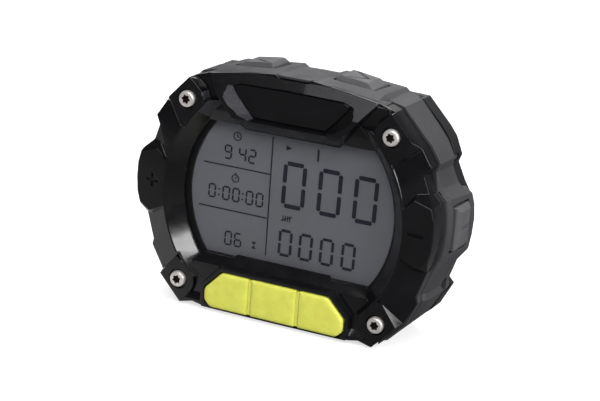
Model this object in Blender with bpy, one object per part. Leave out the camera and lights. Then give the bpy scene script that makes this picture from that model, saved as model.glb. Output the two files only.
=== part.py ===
"""A digital tally counter: a rubber-sleeved handheld score counter with a wide display.

Every size is in millimetres in the face frame, and place() turns it into metres in the world frame.
Face frame: X to the right, Y back from the plane of the screw heads, Z up from the edge of the bezel.
World frame: the counter stands on Z = 0, its front faces -Y, and its depth is centred on Y = 0.
"""

from math import asin, cos, pi, radians, sin

import bmesh
import bpy
from mathutils import Vector

MM = 0.001

# Driving depths, from the front
KEY_FRONT = -0.5
RIM_FRONT = 0.3
LUG_FRONT = 1.0
FLANGE_FRONT = 4.2
FLANGE_BACK = 4.8
PLATE_BACK = 7.6
SKIRT_BACK = 11.7
TUB_FRONT = 13.1
SLEEVE_BACK = 26.0
FLOOR_FRONT = 28.9
CASE_BACK = 30.5
MIDDLE = (KEY_FRONT + CASE_BACK) / 2

# Driving heights
FOOT = -1.0

# Gaps
TOUCH = 0.3

# Half outlines of the face and of the back, from top centre down the right side to bottom centre
FACE_HALF = [
    (0, 75.2), (6.2, 75.0), (17.0, 73.8), (27.0, 72.3), (32.9, 70.5), (39.6, 63.3), (41.9, 61.0),
    (45.1, 56.1), (43.4, 53.5), (45.3, 48.4), (47.9, 45.6), (48.8, 41.5), (49.0, 37.0), (48.7, 32.5),
    (47.8, 28.7), (46.7, 25.2), (43.9, 16.9), (44.5, 14.9), (40.6, 8.0), (39.6, 7.2), (32.4, -0.5),
    (28.0, 0.6), (25.0, 0.0), (0, -0.1),
]
BACK_HALF = [
    (0, 73.7), (6.2, 73.6), (17.0, 72.8), (27.0, 71.8), (33.0, 70.5), (40.0, 62.7), (42.2, 59.9),
    (44.6, 54.9), (44.3, 52.6), (46.8, 47.6), (50.4, 44.7), (51.4, 41.5), (51.8, 37.0), (51.5, 32.0),
    (50.8, 27.4), (47.8, 23.6), (45.6, 16.9), (46.1, 14.9), (42.2, 8.0), (41.0, 6.6), (33.6, -1.0),
    (27.5, -1.0), (25.0, -1.0), (0, -1.0),
]
CORE_HALF = [
    (0, 75.0), (27.0, 72.2), (32.9, 70.4), (39.8, 63.0), (43.6, 54.5), (45.0, 48.0), (47.6, 44.5),
    (47.6, 29.5), (46.0, 24.5), (43.6, 16.5), (40.2, 8.4), (32.5, 0.4), (0, 0.4),
]
BODY_HALF = [
    (0, 74.85), (6.2, 74.7), (17.0, 73.6), (27.0, 72.4), (33.1, 71.0), (40.1, 63.6), (42.5, 61.3),
    (45.8, 56.2), (44.6, 53.5), (46.2, 48.8), (49.4, 46.3), (50.2, 41.8), (50.5, 37.0), (50.2, 32.3),
    (49.4, 28.1), (47.9, 24.6), (45.0, 16.5), (45.7, 14.5), (41.8, 7.2), (40.6, 6.2), (33.6, -1.0),
    (27.5, -1.0), (25.0, -1.0), (0, -1.0),
]

# How far the outlines above grow, one value for each point of a half outline
RIM_GROWTH = [-1.3] * 3 + [-0.8, 0.3, 0.7, 0.7, 0.4, -0.2, -0.3]
RIM_GROWTH += [-1.8] * 5 + [-1.5, -1.2, 0.2, 0.5, 0.3] + [0.0] * 4
LIP_GROWTH = [0.0] * 18 + [0.8, 1.0, 1.0, 1.6, 1.0, 0.9]
LIP_DEPTHS = [8.9] * 15 + [8.6, 7.9] + [7.6] * 7
STEP_GROWTH = [0.0] * 9 + [-1.0] * 9 + [-0.6] * 3 + [0.0] * 3
GROOVE_GROWTH = [0.0] * 9 + [-0.5] * 9 + [0.3, 0.5, 0.5, 1.6, 1.0, 0.9]
SLEEVE_BODY_FRONT = 9.6

# How far the walls stand inside the core outline
SLEEVE_INSET = -2.3
WALL_OUTSIDE = -2.6
WALL_INSIDE = -4.1

# Window
OPENING_CENTRE = (0, 35.5)
OPENING_FRONT_RADIUS = 39.3
OPENING_BACK_RADIUS = 35.0
OPENING_BACK = 5.5
WINDOW_TOP = 57.5
WINDOW_BOTTOM = 15.9
WINDOW_STEP = 1.1

# Brow, which is upright up to its crease and slopes back above it, and the nameplate's dish in it
BROW_FRONT = 0.4
BROW_CREASE = 66.4
BROW_SLOPE = 0.485
DISH_RIM_HALF = [(0, 71.6), (17.6, 71.2), (20.9, 70.4), (22.0, 68.6), (21.3, 66.9), (19.1, 64.1),
                 (15.9, 61.9), (12.6, 60.7), (0, 60.4)]
DISH_FLOOR_HALF = [(0, 71.1), (17.0, 70.8), (19.4, 69.9), (18.2, 68.0), (16.6, 66.1), (14.8, 64.0),
                   (12.9, 62.0), (11.8, 60.9), (0, 60.8)]
DISH_FLOOR = 2.9
NAMEPLATE_THICKNESS = 0.4

# The bezel's deeper walls and the key strip
SHOULDER = [(30.2, 74.0), (38.0, 74.0), (48.0, 62.0), (48.0, 48.4), (44.0, 48.4), (36.0, 56.0), (28.0, 66.0)]
SHOULDER_BACK = 9.3
TAB_SIDE = [(42.0, 49.2), (50.5, 49.2), (50.5, 25.2), (42.0, 25.2)]
TAB_SIDE_BACK = 6.2
CHIN = [(-32.6, -2.0), (32.6, -2.0), (32.6, 3.4), (-32.6, 3.4)]
REAR_SHOULDER = [(32.0, 73.5), (41.0, 73.5), (49.0, 62.0), (49.0, 55.8), (40.0, 55.8), (35.0, 62.0),
                 (32.0, 65.5)]
REAR_WAIST = [(40.6, 53.9), (49.0, 53.9), (50.5, 46.6), (40.6, 46.6)]
REAR_HEEL = [(37.5, 13.6), (48.0, 13.6), (45.0, 6.3), (34.5, 6.3)]
REAR_EDGES = [(REAR_SHOULDER, 23.4), (REAR_WAIST, 23.4), (REAR_HEEL, 21.5)]
KEY_STRIP = [(17.7, 12.1), (23.3, 6.3), (23.3, 2.6), (21.3, 0.5)]
KEY_MIDDLES = (-15.4, 0.0, 15.4)
KEY_SPLITS = (-8.0, 8.0)
SPLIT_HALF_WIDTH = 0.7
RIB_HALF_WIDTH = 0.45

# Side and top pads
PAD_FRONT, PAD_BACK = 10.8, 21.8
SIDE_PAD_FRONT = 12.4
SIDE_PAD_LOW, SIDE_PAD_HIGH = 30.0, 43.2
SIDE_MARK_DEPTH = 17.1
TOP_PAD_IN, TOP_PAD_OUT = 10.2, 22.4
PAD_GAP = 0.7
FLANGE_REACH = 1.0
TOP_FLANGE_DROP = 3.2
BUTTON_DEPTH = 16.4
SIDE_BUTTON_HEIGHT = 36.6
TOP_BUTTON_OFFSET = 16.3

# Circuit board
BOARD_FRONT, BOARD_BACK = 13.5, 15.1
BOARD_HALF = [(0, 66.5), (26.0, 66.5), (26.0, 57.5), (36.8, 57.5), (38.6, 53.0), (38.6, 20.0), (36.5, 14.0),
              (27.5, 14.0), (27.5, 5.0), (0, 5.0)]

# Battery bay and its door, as low and high corners
BAY_LOW, BAY_HIGH = (-26.3, 17.1, 25.6), (26.3, 32.0, 47.9)
DOOR_LOW, DOOR_HIGH = (-33.0, 29.2, 20.5), (33.0, CASE_BACK, 53.0)
DOOR_SCREWS = {"left": (-30.2, 36.75), "right": (30.2, 36.75)}

# Screws
SCREWS = {"top_left": (-33.25, 63.7), "top_right": (33.25, 63.7),
          "bottom_left": (-33.25, 6.75), "bottom_right": (33.25, 6.75)}
BOSS_RADIUS = 3.3

# Colours, as red, green, blue
BLACK = (0.012, 0.012, 0.014)
SLEEVE_GREY = (0.045, 0.045, 0.048)
PAD_GREY = (0.075, 0.075, 0.08)
LIME = (0.62, 0.72, 0.10)
STEEL = (0.72, 0.70, 0.67)
BRASS = (0.78, 0.57, 0.25)
GLASS = (0.75, 0.78, 0.8)
LCD_GREY = (0.115, 0.12, 0.125)
BOARD_GREEN = (0.02, 0.14, 0.05)
CHIP_BLACK = (0.02, 0.02, 0.02)
WHITE = (0.8, 0.8, 0.78)


def clear_scene():
    for item in list(bpy.data.objects):
        bpy.data.objects.remove(item, do_unlink=True)


def place(x, y, z):
    """A point of the face frame, in metres in the world frame."""
    return Vector((x * MM, (y - MIDDLE) * MM, (z - FOOT) * MM))


def mesh_object(name, bm):
    bmesh.ops.remove_doubles(bm, verts=bm.verts, dist=1e-7)
    bmesh.ops.recalc_face_normals(bm, faces=bm.faces)
    mesh = bpy.data.meshes.new(name)
    bm.to_mesh(mesh)
    bm.free()
    item = bpy.data.objects.new(name, mesh)
    bpy.context.scene.collection.objects.link(item)
    return item


def mirrored(half):
    """The whole outline of a half one, whose first and last points lie on the middle line."""
    return half + [(-x, z) for x, z in reversed(half) if abs(x) > 1e-6]


def mirrored_values(half):
    """One value for each point of a mirrored outline, from those of its half."""
    return half + half[-2:0:-1]


def grown(outline, distance):
    """The outline moved outwards by one distance, or by one at each point, with its foot kept flat."""
    count = len(outline)
    distances = distance if isinstance(distance, list) else [distance] * count
    result = []
    for i, (x, z) in enumerate(outline):
        before = Vector(outline[i]) - Vector(outline[i - 1])
        after = Vector(outline[(i + 1) % count]) - Vector(outline[i])
        normals = [Vector((-side.y, side.x)).normalized() for side in (before, after)]
        corner = (normals[0] + normals[1]).normalized()
        step = distances[i] / max(corner.dot(normals[0]), 0.5)
        result.append((x + corner.x * step, max(z + corner.y * step, FOOT)))
    return result


def between(first, second, share):
    return [(a + (c - a) * share, b + (d - b) * share) for (a, b), (c, d) in zip(first, second)]


def loft(name, sections):
    """A solid through outlines of as many points, from front to back, given as (depth or depths, outline)."""
    bm = bmesh.new()
    rings = []
    for depth, outline in sections:
        depths = depth if isinstance(depth, list) else [depth] * len(outline)
        rings.append([bm.verts.new(place(x, y, z)) for y, (x, z) in zip(depths, outline)])
    sides = []
    for front, back in zip(rings, rings[1:]):
        for i in range(len(front)):
            j = (i + 1) % len(front)
            sides.append(bm.faces.new((front[i], front[j], back[j], back[i])))
    bmesh.ops.triangulate(bm, faces=sides)
    bm.faces.new(rings[0])
    bm.faces.new(rings[-1])
    bmesh.ops.dissolve_limit(bm, angle_limit=radians(0.02), verts=bm.verts, edges=bm.edges)
    return mesh_object(name, bm)


def prism(name, outline, front, back):
    return loft(name, [(front, outline), (back, outline)])


def hull(name, points):
    """The convex solid round points given as (x, y, z)."""
    bm = bmesh.new()
    for point in points:
        bm.verts.new(place(*point))
    made = bmesh.ops.convex_hull(bm, input=bm.verts)
    spare = made["geom_interior"] + made["geom_unused"]
    loose = {item for item in spare if isinstance(item, bmesh.types.BMVert)}
    bmesh.ops.delete(bm, geom=list(loose), context="VERTS")
    bmesh.ops.dissolve_limit(bm, angle_limit=radians(0.02), verts=bm.verts, edges=bm.edges)
    return mesh_object(name, bm)


def both_sides(points):
    return points + [(-x, y, z) for x, y, z in points]


def box(name, low, high):
    xs, ys, zs = zip(low, high)
    return hull(name, [(x, y, z) for x in xs for y in ys for z in zs])


def circle(centre, radius, sides, start=0.0):
    turns = [start + 2 * pi * i / sides for i in range(sides)]
    return [(centre[0] + radius * cos(turn), centre[1] + radius * sin(turn)) for turn in turns]


def cylinder(name, centre, radius, front, back, sides=20):
    return prism(name, circle(centre, radius, sides, pi / sides), front, back)


def rod(name, axis, centre, radius, low, high, sides=16):
    """A cylinder along X or Z, whose centre holds the other two coordinates."""
    points = []
    for i in range(sides):
        turn = 2 * pi * (i + 0.5) / sides
        a, b = centre[0] + radius * cos(turn), centre[1] + radius * sin(turn)
        points += [(end, a, b) if axis == "X" else (a, b, end) for end in (low, high)]
    return hull(name, points)


def boolean(base, operation, tools):
    """Applies a Boolean with each tool in turn, and removes the tools."""
    for tool in tools:
        modifier = base.modifiers.new(tool.name, "BOOLEAN")
        modifier.operation = operation
        modifier.solver = "EXACT"
        modifier.object = tool
        tool.hide_render = True
        tool.display_type = "WIRE"
    graph = bpy.context.evaluated_depsgraph_get()
    mesh = bpy.data.meshes.new_from_object(base.evaluated_get(graph))
    base.modifiers.clear()
    base.data = mesh
    for tool in tools:
        bpy.data.objects.remove(tool, do_unlink=True)
    bm = bmesh.new()
    bm.from_mesh(mesh)
    bmesh.ops.remove_doubles(bm, verts=bm.verts, dist=2e-6)
    bmesh.ops.dissolve_limit(bm, angle_limit=radians(0.02), verts=bm.verts, edges=bm.edges)
    bm.to_mesh(mesh)
    bm.free()
    return base


def join(base, *tools):
    return boolean(base, "UNION", tools)


def cut(base, *tools):
    return boolean(base, "DIFFERENCE", tools)


def keep(base, *tools):
    return boolean(base, "INTERSECT", tools)


def finish(item, name, colour, roughness=0.5, metallic=0.0, origin=None):
    """Names a piece, gives it its material, and puts its origin at a face frame point or at its middle."""
    item.name = name
    item.data.name = name
    material = bpy.data.materials.new(name)
    material.use_nodes = True
    shader = material.node_tree.nodes["Principled BSDF"]
    shader.inputs["Base Color"].default_value = (*colour, 1)
    shader.inputs["Roughness"].default_value = roughness
    shader.inputs["Metallic"].default_value = metallic
    material.diffuse_color = (*colour, 1)
    item.data.materials.clear()
    item.data.materials.append(material)
    item.data.shade_smooth()
    item.data.set_sharp_from_angle(angle=radians(30))
    if origin is None:
        corners = [Vector(corner) for corner in item.bound_box]
        centre = sum(corners, Vector()) / len(corners)
    else:
        centre = place(*origin)
    for vertex in item.data.vertices:
        vertex.co -= centre
    item.location = centre
    item.hide_render = False
    item.display_type = "TEXTURED"
    return item


# Front bezel

def lug(side, level):
    """The flat corner that holds a screw: side is 1 on the right, level is 1 at the top."""
    if level > 0:
        flat = [(32.9, 70.5), (39.6, 63.3), (35.0, 55.0)]
        base = [(32.9, 70.5), (39.6, 63.3), (41.9, 61.0), (36.0, 53.6)]
        rounded = slice(6, 18)
    else:
        flat = [(32.4, -0.5), (39.7, 7.2), (34.5, 14.0)]
        base = [(32.4, -0.5), (39.6, 7.2), (40.6, 8.0), (35.5, 15.0)]
        rounded = slice(9, 18)
    centre = (33.25, 63.7 if level > 0 else 6.75)
    points = [(x, LUG_FRONT, z) for x, z in flat + circle(centre, 5.4, 24)[rounded]]
    points += [(x, FLANGE_BACK, z) for x, z in base + circle(centre, 6.3, 24)[rounded]]
    return hull("lug", [(side * x, y, z) for x, y, z in points])


def arm(side, level):
    """The stretch between a lug and a tab, which falls back from the rim to the outline."""
    if level > 0:
        rim = [(38.0, 44.0), (37.2, 47.2), (35.9, 51.0), (34.2, 54.4)]
        edge = [(42.0, 61.2), (45.4, 56.4), (46.2, 48.0)]
        back = [(33.0, 56.0), (36.0, 40.0)]
    else:
        rim = [(38.4, 28.6), (37.6, 25.0), (36.2, 20.8), (34.4, 17.0), (33.3, 15.0)]
        edge = [(47.4, 25.4), (45.0, 14.4), (40.8, 7.8)]
        back = [(32.0, 14.0), (36.0, 30.0)]
    points = [(x, RIM_FRONT, z) for x, z in rim] + [(x, FLANGE_FRONT, z) for x, z in edge]
    points += [(x, FLANGE_BACK, z) for x, z in edge + back]
    return hull("arm", [(side * x, y, z) for x, y, z in points])


def tab(side):
    """The raised thumb tab at mid height, with its chamfered ends."""
    face = [(38.4, 43.0), (42.3, 46.9), (47.7, 45.2), (48.6, 41.5), (48.8, 37.0), (48.5, 32.5), (47.5, 29.0),
            (44.2, 26.8), (38.6, 29.4)]
    base = [(36.4, 44.0), (42.2, 49.8), (45.6, 49.2), (48.7, 46.3), (49.8, 41.5), (50.0, 37.0), (49.7, 32.5),
            (48.8, 28.4), (47.7, 24.8), (43.4, 23.8), (36.4, 28.0)]
    points = [(x, 0.2, z) for x, z in face] + [(x, FLANGE_BACK, z) for x, z in base]
    return hull("tab", [(side * x, y, z) for x, y, z in points])


def brow():
    """The raised panel over the window."""
    face = [(17.7, 60.5), (22.9, BROW_CREASE), (27.1, 71.3), (27.3, 72.6), (17.0, 75.0), (6.2, 76.2)]
    points = [(x, BROW_FRONT + max(z - BROW_CREASE, 0.0) * BROW_SLOPE, z) for x, z in face]
    points.append((15.0, 4.6, 57.2))
    back = [(16.0, 55.5), (18.6, 60.5), (23.2, 66.2), (28.0, 70.6), (27.0, 73.5), (6.2, 76.2)]
    points += [(x, PLATE_BACK, z) for x, z in back]
    return hull("brow", both_sides(points))


def dish():
    """What the brow's dish and the nameplate's pocket under it cut away."""
    floor, rim = mirrored(DISH_FLOOR_HALF), mirrored(DISH_RIM_HALF)
    front = -1.0
    reach = (DISH_FLOOR - front) / (DISH_FLOOR - BROW_FRONT)
    pocket = DISH_FLOOR + NAMEPLATE_THICKNESS + TOUCH
    return loft("dish", [(front, between(floor, rim, reach)), (DISH_FLOOR, floor), (pocket, floor)])


def ceiling(side):
    """The slope from the window's top edge up to the flat beside the brow."""
    section = [(5.3, 57.2), (3.9, 61.5), (3.9, 71.0), (PLATE_BACK, 56.0), (PLATE_BACK, 71.0)]
    return hull("ceiling", [(side * x, y, z) for x in (10.0, 31.0) for y, z in section])


def sill():
    """The panel under the window, whose top slopes up to the window's lower edge."""
    points = [(x, 2.6, z) for x, z in [(29.6, 13.3), (29.6, 9.0), (27.6, 6.0), (27.6, -1.5)]]
    points += [(x, y, z) for x, z in [(16.0, 17.3), (27.0, 16.2), (30.0, 12.0), (28.0, 5.0), (28.0, -1.5)]
               for y in (5.3, PLATE_BACK)]
    return hull("sill", both_sides(points))


def foot():
    """The ledge along the lower edge, level with the lugs on both sides of the key frame."""
    section = [(LUG_FRONT, -1.5), (LUG_FRONT, 1.4), (2.8, 3.6), (PLATE_BACK, 3.6), (PLATE_BACK, -1.5)]
    return hull("foot", [(x, y, z) for x in (-32.6, 32.6) for y, z in section])


def key_frame():
    """The raised frame round the three keys."""
    face = [(18.8, 13.5), (24.8, 7.0), (24.8, 2.2), (24.0, -1.5)]
    points = [(x, 0.2, z) for x, z in face]
    points += [(x, 3.4, z) for x, z in [(19.0, 13.9), (25.3, 7.1), (25.3, 2.0), (24.4, -1.5)]]
    return hull("key_frame", both_sides(points))


def strip_outline(gap=0.0):
    half = [(0, 12.1)] + KEY_STRIP + [(0, 0.5)]
    outline = []
    for x, z in mirrored(half):
        sign = (x > 0) - (x < 0)
        outline.append((x + sign * gap, z + (gap if z > 6.0 else -gap)))
    return outline


def side_block(side, outline, back):
    """A stretch where the bezel's wall reaches further back than its flange."""
    return prism("side_block", [(side * x, z) for x, z in outline], FLANGE_BACK - 0.4, back)


def six_lobe_star(centre, radius, count=6):
    points = []
    for i in range(2 * count):
        turn = pi * i / count + pi / 6
        reach = radius if i % 2 == 0 else radius * 0.72
        points.append((centre[0] + reach * cos(turn), centre[1] + reach * sin(turn)))
    return points


def plus_mark(centre, bottom, reach=2.1, half_width=0.45):
    x, z = centre
    across = box("across", (x - reach, -1.0, z - half_width), (x + reach, bottom, z + half_width))
    upright = box("upright", (x - half_width, -1.0, z - reach), (x + half_width, bottom, z + reach))
    return join(across, upright)


def envelope():
    """What the bezel may fill behind its face: its flange, its skirt in the sleeve, and its deeper walls."""
    whole = prism("envelope", grown(mirrored(FACE_HALF), 2.0), -2.0, FLANGE_BACK)
    parts = [prism("skirt", grown(mirrored(CORE_HALF), WALL_OUTSIDE), FLANGE_BACK - 0.4, SKIRT_BACK)]
    parts.append(prism("chin", CHIN, FLANGE_BACK - 0.4, PLATE_BACK))
    for side in (1, -1):
        parts.append(side_block(side, SHOULDER, SHOULDER_BACK))
        parts.append(side_block(side, TAB_SIDE, TAB_SIDE_BACK))
    return join(whole, *parts)


def front_bezel():
    outline = mirrored(FACE_HALF)
    base = prism("front_bezel", grown(outline, 0.8), FLANGE_FRONT, FLANGE_BACK + 0.3)
    bulk = [prism("bulk", grown(mirrored(CORE_HALF), -1.0), FLANGE_FRONT + 0.4, SKIRT_BACK + 0.5)]
    for front, radius, back, back_radius, low, high in ((1.0, 39.5, FLANGE_BACK + 0.1, 41.5, 8.5, 64.5),
                                                        (RIM_FRONT, 39.9, FLANGE_FRONT, 40.9, 15.5, 55.0)):
        ring = loft("ring", [(front, circle(OPENING_CENTRE, radius, 72)),
                             (back, circle(OPENING_CENTRE, back_radius, 72))])
        bulk.append(keep(ring, box("band", (-50, 0, low), (50, 9, high))))
    for side in (1, -1):
        bulk.append(tab(side))
        bulk.append(side_block(side, SHOULDER, SHOULDER_BACK + 1))
        bulk.append(side_block(side, TAB_SIDE, TAB_SIDE_BACK + 1))
        for level in (1, -1):
            bulk += [arm(side, level), lug(side, level)]
    join(base, *bulk)
    cone = loft("cone", [
        (-1.0, circle(OPENING_CENTRE, OPENING_FRONT_RADIUS + 1.0, 72)),
        (OPENING_BACK, circle(OPENING_CENTRE, OPENING_BACK_RADIUS, 72)),
        (SKIRT_BACK + 1, circle(OPENING_CENTRE, OPENING_BACK_RADIUS, 72)),
    ])
    cut(base, cone)
    join(base, brow(), ceiling(1), ceiling(-1), sill(), foot(), key_frame())
    join(base, prism("plate", circle(OPENING_CENTRE, 38.0, 40), OPENING_BACK - 0.2, PLATE_BACK))
    keep(base, envelope(), prism("trim", outline, -2.5, SKIRT_BACK + 1))
    window = window_outline(OPENING_BACK_RADIUS, WINDOW_BOTTOM, WINDOW_TOP, WINDOW_STEP)
    holes = [
        prism("window", window, 3.0, SKIRT_BACK + 2),
        prism("lens_seat", window_outline(37.0, 14.3, 59.9), 5.9, PLATE_BACK + 1),
        prism("pocket", grown(mirrored(CORE_HALF), WALL_INSIDE), PLATE_BACK, SKIRT_BACK + 1),
    ]
    cut(base, *holes)
    for centre in SCREWS.values():
        join(base, cylinder("boss", centre, BOSS_RADIUS, PLATE_BACK - 0.5, SKIRT_BACK))
    holes = [prism("strip_hole", strip_outline(TOUCH), -2.0, PLATE_BACK + TOUCH)]
    holes.append(box("web_pocket", (-24.6, 4.9, 0.5), (24.6, PLATE_BACK + TOUCH, 13.4)))
    for centre in SCREWS.values():
        holes.append(cylinder("shank_hole", centre, 1.8, -1, SKIRT_BACK + 1, 16))
        holes.append(cylinder("counterbore", centre, 3.1, -1, 2.3, 24))
    notch = [(x, y, z) for x, z in [(4.6, 74.05), (6.6, 75.4), (6.6, 77.0)] for y in (0, 7)]
    minus = box("minus", (41.0, -1.0, 36.25), (46.0, 1.1, 37.15))
    cut(base, *holes, dish(), hull("top_notch", both_sides(notch)), plus_mark((-43.4, 36.7), 1.1), minus)
    return finish(base, "front_bezel", BLACK, 0.14)


def nameplate():
    """The bare gloss plate at the bottom of the dish."""
    outline = grown(mirrored(DISH_FLOOR_HALF), -TOUCH)
    plate = prism("nameplate", outline, DISH_FLOOR, DISH_FLOOR + NAMEPLATE_THICKNESS)
    return finish(plate, "nameplate", BLACK, 0.08)


# Display

def window_outline(radius, low, high, step=0.0, count=14):
    """A circle cut flat below and above, with the flats a step further in near the middle."""
    first, last = (asin((level - OPENING_CENTRE[1]) / radius) for level in (low, high))
    arc = [first + (last - first) * i / count for i in range(count + 1)]
    right = [(radius * cos(turn), OPENING_CENTRE[1] + radius * sin(turn)) for turn in arc]
    if step:
        right = [(15.5, low + step), (16.5, low)] + right + [(16.5, high), (15.5, high - step)]
    return right + [(-x, z) for x, z in reversed(right)]


def display():
    lens = prism("lens", window_outline(36.7, 14.6, 59.6), 6.2, 7.2)
    finish(lens, "display_lens", GLASS, 0.03)
    mask = prism("mask", window_outline(36.7, 14.6, 59.6), 7.4, 7.9)
    cut(mask, prism("hole", window_outline(33.8, WINDOW_BOTTOM - 0.4, WINDOW_TOP + 0.4), 7.0, 8.5))
    finish(mask, "display_mask", BLACK, 0.6)
    finish(box("glass", (-35.5, 8.2, 14.25), (35.5, 10.8, 59.25)), "lcd_panel", LCD_GREY, 0.25)
    finish(box("light", (-33.5, 11.1, 17.6), (33.5, 13.2, 57.5)), "backlight_panel", WHITE, 0.4)
    strip = box("strip", (-31.0, 11.1, 14.8), (31.0, 13.2, 16.8))
    finish(strip, "elastomer_connector", (0.5, 0.28, 0.35), 0.8)


# Electronics

def electronics():
    board = prism("board", mirrored(BOARD_HALF), BOARD_FRONT, BOARD_BACK)
    finish(board, "main_circuit_board", BOARD_GREEN, 0.4)
    back = BOARD_BACK + TOUCH
    for side, name in ((1, "minus_switch"), (-1, "plus_switch")):
        low, high = sorted((side * 33.6, side * 37.4))
        body = box("body", (low, back, SIDE_BUTTON_HEIGHT - 3.2), (high, back + 3.4, SIDE_BUTTON_HEIGHT + 3.2))
        ends = sorted((side * 37.0, side * 38.4))
        join(body, rod("nub", "X", (BUTTON_DEPTH, SIDE_BUTTON_HEIGHT), 0.9, *ends, 12))
        finish(body, name, CHIP_BLACK, 0.4)
    for side, name in ((1, "next_switch"), (-1, "previous_switch")):
        middle = side * TOP_BUTTON_OFFSET
        body = box("body", (middle - 3.2, back, 61.2), (middle + 3.2, back + 3.4, 65.4))
        join(body, rod("nub", "Z", (middle, BUTTON_DEPTH), 0.9, 65.0, 66.2, 12))
        finish(body, name, CHIP_BLACK, 0.4)
    for middle, name in zip(KEY_MIDDLES, ("left_key_switch", "centre_key_switch", "right_key_switch")):
        body = box("body", (middle - 2.3, 10.4, 5.2), (middle + 2.3, BOARD_FRONT - TOUCH, 9.0))
        join(body, cylinder("nub", (middle, 6.8), 1.1, 10.1, 11.0, 12))
        finish(body, name, CHIP_BLACK, 0.4)
    finish(box("chip", (-14.0, back, 7.0), (-4.0, back + 1.4, 17.0)), "microcontroller", CHIP_BLACK, 0.5)
    finish(box("can", (0.0, back, 9.0), (8.0, back + 2.4, 12.0)), "clock_crystal", STEEL, 0.3, 1.0)
    finish(cylinder("disc", (19.0, 12.0), 6.2, back, back + 3.0, 24), "piezo_buzzer", CHIP_BLACK, 0.5)


# Rear housing

def rear_housing():
    core = mirrored(CORE_HALF)
    rim = grown(mirrored(BACK_HALF), mirrored_values(RIM_GROWTH))
    base = prism("rear_housing", grown(core, WALL_OUTSIDE), TUB_FRONT, FLOOR_FRONT + 0.4)
    plate = loft("plate", [(20.0, rim), (28.7, rim), (CASE_BACK, grown(rim, -1.7))])
    sleeve_space = prism("sleeve_space", grown(mirrored(BACK_HALF), 4.0), 19.0, SLEEVE_BACK + TOUCH)
    for outline, front in REAR_EDGES:
        for side in (1, -1):
            cut(sleeve_space, prism("edge", [(side * x, z) for x, z in outline], front, SLEEVE_BACK + 1))
    join(base, cut(plate, sleeve_space))
    cut(base, prism("cavity", grown(core, WALL_INSIDE), TUB_FRONT - 1, FLOOR_FRONT))
    bay = box("bay", (-33.0, 15.9, 19.0), (33.0, FLOOR_FRONT + 0.5, 54.5))
    bosses = [cylinder("boss", centre, BOSS_RADIUS, TUB_FRONT, FLOOR_FRONT + 0.5) for centre in SCREWS.values()]
    frame = box("frame", (-35.5, 26.5, 18.0), (35.5, FLOOR_FRONT + 0.5, 55.5))
    join(base, bay, frame, *bosses)
    low = (DOOR_LOW[0] - TOUCH, FLOOR_FRONT, DOOR_LOW[2] - TOUCH)
    high = (DOOR_HIGH[0] + TOUCH, 32.0, DOOR_HIGH[2] + TOUCH)
    holes = [box("bay_hole", BAY_LOW, BAY_HIGH), box("door_recess", low, high)]
    holes.append(box("groove", (-28.0, 28.0, 23.9), (28.0, 30.0, 49.6)))
    for centre in DOOR_SCREWS.values():
        holes.append(cylinder("pilot", centre, 1.3, 22.0, 32.0, 12))
    for centre in SCREWS.values():
        holes.append(cylinder("insert_hole", centre, 2.6, TUB_FRONT - 1, 22.0, 16))
    for side in (1, -1):
        ends = sorted((side * 40.0, side * 49.0))
        holes.append(rod("plunger_hole", "X", (BUTTON_DEPTH, SIDE_BUTTON_HEIGHT), 2.0, *ends, 12))
        holes.append(rod("plunger_hole", "Z", (side * TOP_BUTTON_OFFSET, BUTTON_DEPTH), 2.0, 66.0, 75.0, 12))
    cut(base, *holes)
    finish(base, "rear_housing", BLACK, 0.45)


def battery_bay():
    points = [(x, y, z) for x in (DOOR_LOW[0], DOOR_HIGH[0]) for z in (DOOR_LOW[2], DOOR_HIGH[2])
              for y in (DOOR_LOW[1], 30.1)]
    points += [(x, CASE_BACK, z) for x in (-32.6, 32.6) for z in (20.9, 52.6)]
    door = hull("door", points)
    holes = []
    for centre in DOOR_SCREWS.values():
        holes.append(cylinder("shank_hole", centre, 1.3, 28.0, 32.0, 12))
        holes.append(cylinder("head_hole", centre, 2.4, 29.8, 32.0, 16))
    for i in range(5):
        z = 24.5 + i * 1.6
        holes.append(box("grip_line", (-6.0, 30.1, z), (6.0, 31.0, z + 0.8)))
    finish(cut(door, *holes), "battery_door", BLACK, 0.4)
    seal = box("seal", (-27.7, 28.3, 24.2), (27.7, 28.9, 49.3))
    cut(seal, box("hole", (-26.6, 27.0, 25.3), (26.6, 30.0, 48.2)))
    finish(seal, "battery_door_seal", (0.25, 0.03, 0.03), 0.7)
    for name, centre in DOOR_SCREWS.items():
        screw = cylinder("screw", centre, 2.1, 30.1, 30.45, 16)
        join(screw, cylinder("shank", centre, 1.0, 23.5, 30.2, 10))
        cut(screw, prism("drive", six_lobe_star(centre, 0.9), 30.25, 31.0))
        finish(screw, f"battery_door_screw_{name}", STEEL, 0.3, 1.0)
    for name, z, turn in (("upper", 42.3, 1), ("lower", 31.2, -1)):
        cell = rod("cell", "X", (22.7, z), 5.1, *sorted((turn * -20.3, turn * 23.3)), 20)
        join(cell, rod("nub", "X", (22.7, z), 1.8, *sorted((turn * 23.0, turn * 24.2)), 12))
        finish(cell, f"battery_cell_{name}", (0.12, 0.12, 0.13), 0.35, 0.4)
        finish(spring(turn * -26.0, turn * -20.6, z), f"battery_spring_{name}", STEEL, 0.3, 1.0)
        ends = sorted((turn * 24.5, turn * 25.0))
        contact = box("contact", (ends[0], 18.2, z - 4.0), (ends[1], 27.0, z + 4.0))
        finish(contact, f"battery_contact_{name}", STEEL, 0.3, 1.0)


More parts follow.
